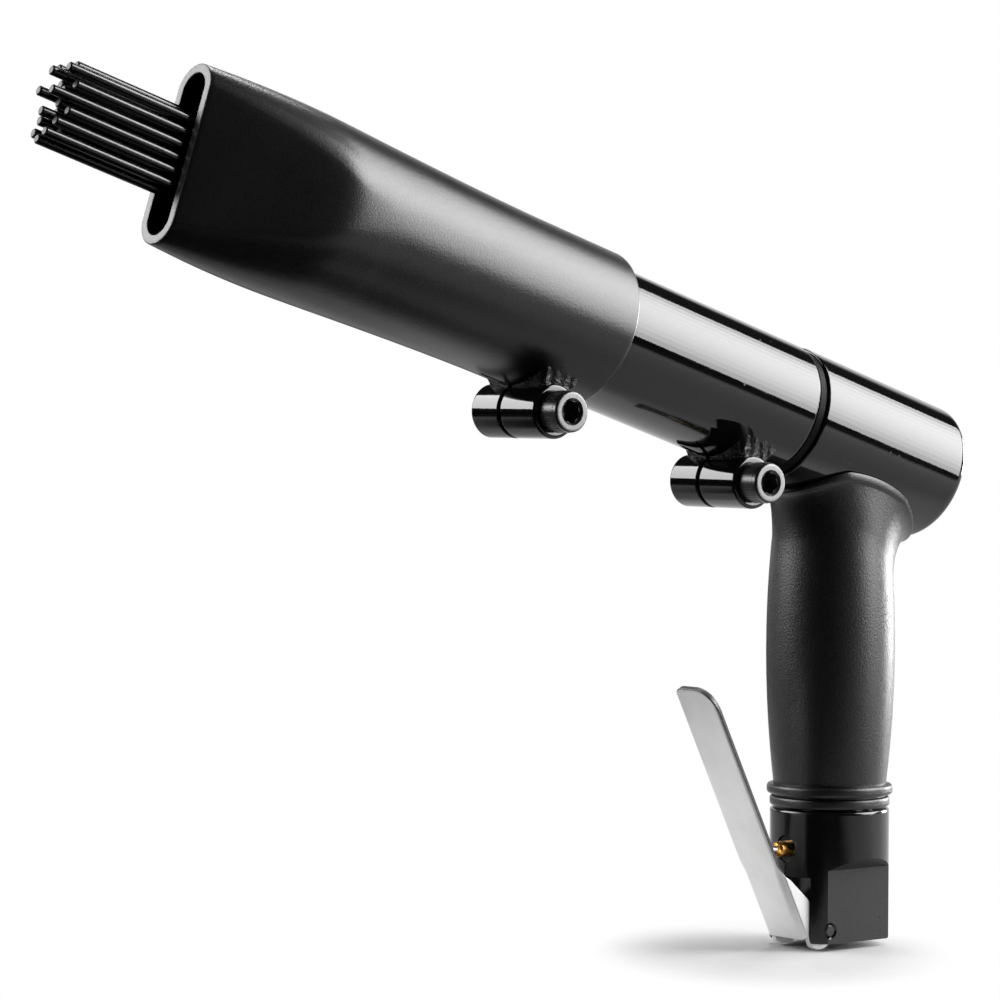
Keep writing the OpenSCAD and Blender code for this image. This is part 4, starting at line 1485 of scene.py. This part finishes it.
@dataclass
class ThrottleLever:
    """The pressed steel lever: a flat strip whose edges curl back into two ears."""

    width: float = 19.0
    sheet: float = 2.0
    lean: float = LEVER_LEAN
    top: float = 86.0
    foot_z: float = 1.0
    reach: float = 34.2
    stem_at: float = STEM_AT
    tip_near: float = 9.0
    tip_far: float = 4.0
    bend_r: float = 2.3
    edge_roll: float = 35.0
    roll_run: float = 7.0
    flat_share: float = 0.6
    edge_r: float = 0.35
    columns: int = 40
    rows: int = 90
    ear_top: float = 22.0
    lobe_r: float = 6.8
    pivot: Point = LEVER_PIVOT
    pin_hole: float = 2.05

    @property
    def length(self) -> float:
        """Length of the strip along its lean."""
        return (self.top - self.foot_z) / math.cos(math.radians(self.lean))

    @property
    def ear(self) -> float:
        """Length of the ears along the strip's lean."""
        return (self.ear_top - self.foot_z) / math.cos(math.radians(self.lean))

    def frame(self) -> Matrix:
        """Returns the strip's frame: x across, y up the strip and z out of its front face.

        Returns:
            The frame in the tool's frame.
        """
        lean = math.radians(self.lean)
        foot_x = -self.reach + (self.stem_at - self.foot_z) * math.tan(lean)
        foot = Vector((foot_x, 0, self.foot_z))
        across, up = Vector((0, -1, 0)), Vector((-math.sin(lean), 0, math.cos(lean)))
        out = across.cross(up)
        return Matrix.Translation(foot) @ Matrix((across, up, out)).transposed().to_4x4()

    def _bend(self, across: float, along: float) -> Vector:
        """Returns a point of the strip's front face from its place on the flat blank.

        Args:
            across: Place across the blank, from -1 to 1.
            along: Place up the blank, from 0 to 1.

        Returns:
            The point in the strip's frame.
        """
        half, top = self.width / 2 - self.edge_r, self.length - self.edge_r
        u = mix(self.edge_r, top, along)
        roll = math.radians(mix(90, self.edge_roll, ease((u - self.ear + 1) / self.roll_run)))
        flat = half - self.bend_r * math.sin(roll)
        side = abs(across)
        angle = max(0.0, side - self.flat_share) / (1 - self.flat_share) * roll
        x = min(1.0, side / self.flat_share) * flat + self.bend_r * math.sin(angle)
        z = -self.bend_r * (1 - math.cos(angle))
        tip = (self.tip_near if across > 0 else self.tip_far) - self.edge_r
        over, up = (x - half) / tip + 1, (u - top) / tip + 1
        # The square corner of the blank is drawn in to a quarter circle
        if over > 0 and up > 0:
            x = half - tip + tip * over * math.sqrt(1 - up * up / 2)
            u = top - tip + tip * up * math.sqrt(1 - over * over / 2)
            z *= 1 - ease(up)
        return Vector((math.copysign(x, across), u, z))

    def build(self) -> None:
        """Presses the strip and adds the ears."""
        piece = Piece("lever_strip", self.frame())
        piece.add(self._strip())
        # The second finish is painted shade on the strip's rim
        coats = [Coat.LEVER, Coat.SHADED_EDGE]
        piece.finish(coats, "lever", ["throttle_lever"], 40)
        self._ears()

    def _strip(self) -> Form:
        """Returns the bent sheet: its front, its back, and the rounded rim between them.

        Returns:
            The closed form.
        """
        bm = bmesh.new()
        places = [2 * i / self.columns - 1 for i in range(self.columns + 1)]
        front = [
            [bm.verts.new(self._bend(across, j / self.rows)) for across in places]
            for j in range(self.rows + 1)
        ]
        for low, high in zip(front, front[1:]):
            for corners in zip(low, low[1:], high[1:], high):
                bm.faces.new(corners)
        bm.normal_update()
        back = {v: bm.verts.new(v.co - v.normal * self.sheet) for row in front for v in row}
        for face in list(bm.faces):
            bm.faces.new([back[v] for v in reversed(face.verts[:])])
        loop = front[0] + [row[-1] for row in front[1:-1]]
        loop += front[-1][::-1] + [row[0] for row in front[-2:0:-1]]
        sides = [
            (after.co - before.co).cross(v.normal).normalized()
            for before, v, after in zip(loop[-1:] + loop[:-1], loop, loop[1:] + loop[:1])
        ]
        rings = [loop]
        for step in (30, 60, 90, -90, -60, -30):
            turn = math.radians(step)
            out, deep = self.edge_r * abs(math.sin(turn)), self.edge_r * (1 - math.cos(turn))
            deep = deep if step > 0 else self.sheet - deep
            ring = [v.co + side * out - v.normal * deep for v, side in zip(loop, sides)]
            rings.append([bm.verts.new(co) for co in ring])
        rings.append([back[v] for v in loop])
        # The rim faces take the second finish, a darker steel that paints shade on the sheet's edge
        for inner, outer in zip(rings, rings[1:]):
            for corners in zip(inner, outer, outer[1:] + outer[:1], inner[1:] + inner[:1]):
                bm.faces.new(corners).material_index = 1
        return bm

    def _ears(self) -> None:
        """Makes both ears with their lobes round the pin."""
        lean = math.radians(self.lean)
        foot = self.frame().translation
        up = Vector((-math.sin(lean), math.cos(lean)))
        back = Vector((math.cos(lean), math.sin(lean)))
        start = Vector((foot.x, foot.z))
        depth = self.bend_r - 0.5
        pivot = Vector(self.pivot)
        arc = [
            tuple(pivot + self.lobe_r * Vector((math.cos(a), math.sin(a))))
            for a in (math.radians(d) for d in range(100, -131, -6))
        ]
        outline = [tuple(start + back * depth), tuple(start + up * (self.ear + 0.6) + back * depth)]
        outline += [tuple(start + up * (self.ear - 1.6) + back * (depth + 1.6))] + arc
        half = self.width / 2 - 0.02
        for side, name in ((-1, "left"), (1, "right")):
            y = side * (half - self.sheet / 2) + self.sheet / 2
            place = Matrix.Translation((0, y, 0)) @ UPRIGHT
            piece = Piece(f"lever_ear_{name}", place)
            piece.add(Shape.plate(outline, self.sheet))
            hole = Shape.prism(self.pin_hole, -5, 5, 48)
            piece.cut(hole, Matrix.Translation((*self.pivot, 0)))
            piece.finish([Coat.LEVER], "lever", (), 40, 0.3)


@dataclass
class InnerParts:
    """The parts inside the tool, kept as the frame has them, and the return spring."""

    barrel: Barrel
    wire: float = 2.4
    mean_d: float = 34.0
    low: float = 120.6
    high: float = 166.6
    turns: int = 6

    COATS = {
        Coat.STEEL: (
            "cylinder", "valve_disc", "piston", "needle_holder",
            "valve_ball", "push_pin", "valve_stem",
        ),
        Coat.DARK: ("valve_case", "anvil", "spring_seat"),
        Coat.SCREW: ("lever_pin",),
        Coat.BRASS: ("anvil_bush", "inlet_strainer", "valve_seat"),
        Coat.SEAL: ("head_seal", "stem_seal"),
    }

    def build(self, nodes: dict[str, bpy.types.Object]) -> None:
        """Dresses the inner parts and winds the return spring.

        Args:
            nodes: The frame's objects by node.
        """
        for coat, names in self.COATS.items():
            for name in names:
                mesh = nodes[name].data
                mesh.materials.clear()
                mesh.materials.append(coat.material())
                LOG.info("%s is dressed as %s", name, coat.value.name)
        piece = Piece("return_spring_wire", self.barrel.frame())
        half = self.wire / 2
        ends = self.low + half, self.high - half
        piece.add(Shape.coil(self.mean_d, self.wire, *ends, self.turns))
        piece.finish([Coat.STEEL], "tool", ["return_spring"])


@dataclass
class Softbox:
    """A rectangular lamp that points at the tool."""

    name: str
    towards: Vector
    distance: float
    long_axis: Vector
    size: Point
    radiance: float

    def build(self, middle: Vector) -> None:
        """Hangs the lamp, with its long side along the long axis.

        Args:
            middle: The place that it points at.
        """
        lamp = bpy.data.lights.new(self.name, "AREA")
        lamp.shape = "RECTANGLE"
        lamp.size, lamp.size_y = self.size
        lamp.energy = self.radiance * math.pi * self.size[0] * self.size[1]
        back = self.towards.normalized()
        along = (self.long_axis - back * self.long_axis.dot(back)).normalized()
        obj = bpy.data.objects.new(self.name, lamp)
        turn = Matrix((along, back.cross(along), back)).transposed().to_4x4()
        obj.matrix_world = Matrix.Translation(middle + back * self.distance) @ turn
        obj.visible_camera = False
        bpy.context.scene.collection.objects.link(obj)


@dataclass
class BowedSoftbox:
    """A tall softbox of a few panels, bowed round the barrel, brightest in its middle."""

    name: str
    forward: Vector
    towards_eye: Vector
    distance: float
    width: float
    panels: Sequence[Triple]

    def build(self, middle: Vector) -> None:
        """Hangs the panels where the barrel mirrors them to the camera.

        Args:
            middle: The place on the barrel axis that they point at.
        """
        share = self.towards_eye.dot(self.forward)
        near = self.towards_eye - self.forward * share
        reach = near.length * self.distance
        near.normalize()
        over = self.forward.cross(near)
        centre = middle - self.forward * (share * self.distance)
        for i, (low, high, radiance) in enumerate(self.panels):
            turn, half = math.radians((low + high) / 2), math.radians(high - low) / 2
            out = near * math.cos(turn) + over * math.sin(turn)
            along = over * math.cos(turn) - near * math.sin(turn)
            size = (2 * reach * math.tan(half), self.width)
            Softbox(f"{self.name}_{i}", out, reach, along, size, radiance).build(centre)


@dataclass
class Studio:
    """Camera, lamps, floor and surroundings."""

    focal: float = 144.0
    eye: Vector = Vector((-0.91363, -0.98875, 0.18449))
    right: Vector = Vector((0.78808, -0.61556, 0.00436))
    up: Vector = Vector((0.01397, 0.02496, 0.99959))
    back: Vector = Vector((-0.61542, -0.78770, 0.02827))
    middle: Vector = Vector((-0.1, 0.0, 0.2))
    forward: Vector = Vector((-0.952129, 0.0, 0.305695))
    floor_z: float = -0.0025
    ahead: Triple = (0.615, 0.788, 0)
    aside: Triple = (0.788, -0.616, 0)
    panel_distance: float = 1.15
    box_distance: float = 1.3

    def build(self) -> None:
        """Sets up the studio."""
        self._camera()
        self._floor()
        self._world()
        self._lamps()
        bpy.context.scene.view_settings.view_transform = "Standard"

    def _lamps(self) -> None:
        """Hangs the bowed softbox over the barrel and a tall one on each side."""
        panels = [(low, low + 8, 11.6 - 0.0035 * (low - 55) ** 2) for low in range(20, 108, 8)]
        bows = (("key_panel", 0.72, panels, -0.1), ("needle_panel", 0.2, [(48, 76, 13.0)], 0.37))
        for name, width, parts, shift in bows:
            bow = BowedSoftbox(name, self.forward, self.back, self.panel_distance, width, parts)
            bow.build(self.middle + self.forward * shift)
        tall = Vector((0, 0, 1))
        boxes = (
            ("left_softbox", (-0.68, 0.73, 0.45), tall, (0.9, 1.05), 8.0),
            ("right_softbox", (1, 0.02, 0.03), tall, (0.5, 0.4), 21.0),
            ("top_softbox", (0.55, 0.6, 1.1), self.right, (0.45, 0.4), 12.0),
        )
        for name, towards, along, size, radiance in boxes:
            box = Softbox(name, Vector(towards), self.box_distance, along, size, radiance)
            box.build(self.middle)

    def _camera(self) -> None:
        """Stands the camera where the photograph was taken from."""
        data = bpy.data.cameras.new("camera")
        data.lens, data.sensor_width = self.focal, 36.0
        data.clip_start, data.clip_end = 0.05, 50
        obj = bpy.data.objects.new("camera", data)
        turn = Matrix((self.right, self.up, self.back)).transposed().to_4x4()
        obj.matrix_world = Matrix.Translation(self.eye) @ turn
        bpy.context.scene.collection.objects.link(obj)
        bpy.context.scene.camera = obj

    def _floor(self) -> None:
        """Lays a pale floor that keeps the shadow near the tool and is white further off."""
        bm = bmesh.new()
        bmesh.ops.create_grid(bm, x_segments=8, y_segments=8, size=6.0)
        bmesh.ops.translate(bm, verts=bm.verts, vec=(0, 0, self.floor_z))
        mesh = bpy.data.meshes.new("floor")
        bm.to_mesh(mesh)
        bm.free()
        material = bpy.data.materials.new("pale_floor")
        material.use_nodes = True
        graph = Graph(material.node_tree)
        place = graph.add("ShaderNodeTexCoord", output="Object")
        far = graph.add("ShaderNodeVectorMath", {"operation": "LENGTH"}, {0: place}, "Value")
        behind = graph.project(place, self.ahead)
        side = graph.project(place, self.aside)
        camera, mirrored = self._seen(graph)
        card = graph.add("ShaderNodeBsdfDiffuse", None, {"Color": grey(0.4)})
        dark = graph.add("ShaderNodeBsdfDiffuse", None, {"Color": grey(0.01)})
        glow = graph.add("ShaderNodeEmission", None, {"Color": grey(1.0), "Strength": 1.0})
        # The camera sees white but for an oval with the shadow, and mirrors see a bright patch
        wide, deep = (side + 0.02) * 24.0, (behind + 0.02) * 17.0
        clear = (wide * wide + deep * deep).between(0.3, 2.2)
        near = far.between(0.0, 0.04) * behind.between(-0.05, 0.0) * side.between(-0.17, -0.13)
        white = camera * clear + mirrored * near
        # What the underside of the barrel mirrors is dimmed in front, to the left and far off
        before = (0.0 - behind).between(0.05, 0.09) * (1.0 - side.between(-0.06, -0.02))
        left = (0.0 - behind).between(-0.1, -0.03) * (1.0 - side.between(-0.3, -0.24))
        front = (0.0 - behind).between(0.16, 0.23) * (1.0 - side.between(0.1, 0.22))
        dim = before.larger(left).larger(front).larger(far.between(0.62, 0.85))
        gloom = mirrored * (0.35 + 0.65 * dim)
        table = graph.add("ShaderNodeMixShader", None, {0: gloom, 1: card, 2: dark})
        graph.end(graph.add("ShaderNodeMixShader", None, {0: white, 1: table, 2: glow}))
        mesh.materials.append(material)
        floor = bpy.data.objects.new("floor", mesh)
        bpy.context.scene.collection.objects.link(floor)

    @staticmethod
    def _seen(graph: Graph) -> tuple[Sock, Sock]:
        """Returns 1 for camera rays, and 1 for glossy and transmission rays.

        Args:
            graph: The tree that asks.

        Returns:
            Both tests.
        """
        path = graph.add("ShaderNodeLightPath", output="Is Camera Ray")
        node = path.socket.node
        glossy = Sock(graph, node.outputs["Is Glossy Ray"])
        through = Sock(graph, node.outputs["Is Transmission Ray"])
        return path, glossy.larger(through)

    def _world(self) -> None:
        """Makes the room: white to look at, bright behind the tool and dim in front of it."""
        world = bpy.data.worlds.new("studio")
        world.use_nodes = True
        bpy.context.scene.world = world
        graph = Graph(world.node_tree)
        camera, mirrored = self._seen(graph)
        way = graph.add("ShaderNodeTexCoord", output="Generated")
        ahead = graph.project(way, self.ahead)
        height = graph.add("ShaderNodeSeparateXYZ", None, {0: way}, "Z")
        cove = ahead.between(0.5, 0.8) * (1.0 - height.between(0.28, 0.42))
        room = 0.3 + mirrored * (cove * 0.97 - 0.28)
        level = camera + (1.0 - camera) * room
        shade = graph.add("ShaderNodeBackground", None, {"Color": grey(1.0), "Strength": level})
        graph.end(shade, "ShaderNodeOutputWorld")


def main() -> None:
    """Builds the studio and the tool, piece by piece."""
    logging.basicConfig(level=logging.INFO, format="%(name)s: %(message)s")
    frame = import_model()
    barrel = Barrel()
    Studio().build()
    tube_lug = ClampLug(
        barrel, "needle_tube", NEEDLE_TUBE_D, 129.6, "nozzle", Coat.GLOSS, "black_oxide"
    )
    housing_lug = ClampLug(
        barrel, "housing", HOUSING_D, 44.0, "tool", Coat.GLOSS, "gloss_black_tube"
    )
    NeedleTube(barrel, tube_lug).build()
    Housing(barrel, housing_lug).build()
    NeedleBundle(barrel).build()
    Grip(barrel).build()
    ValveBody().build()
    ThrottleLever().build()
    InnerParts(barrel).build(frame["nodes"])


if __name__ == "__main__":
    main()
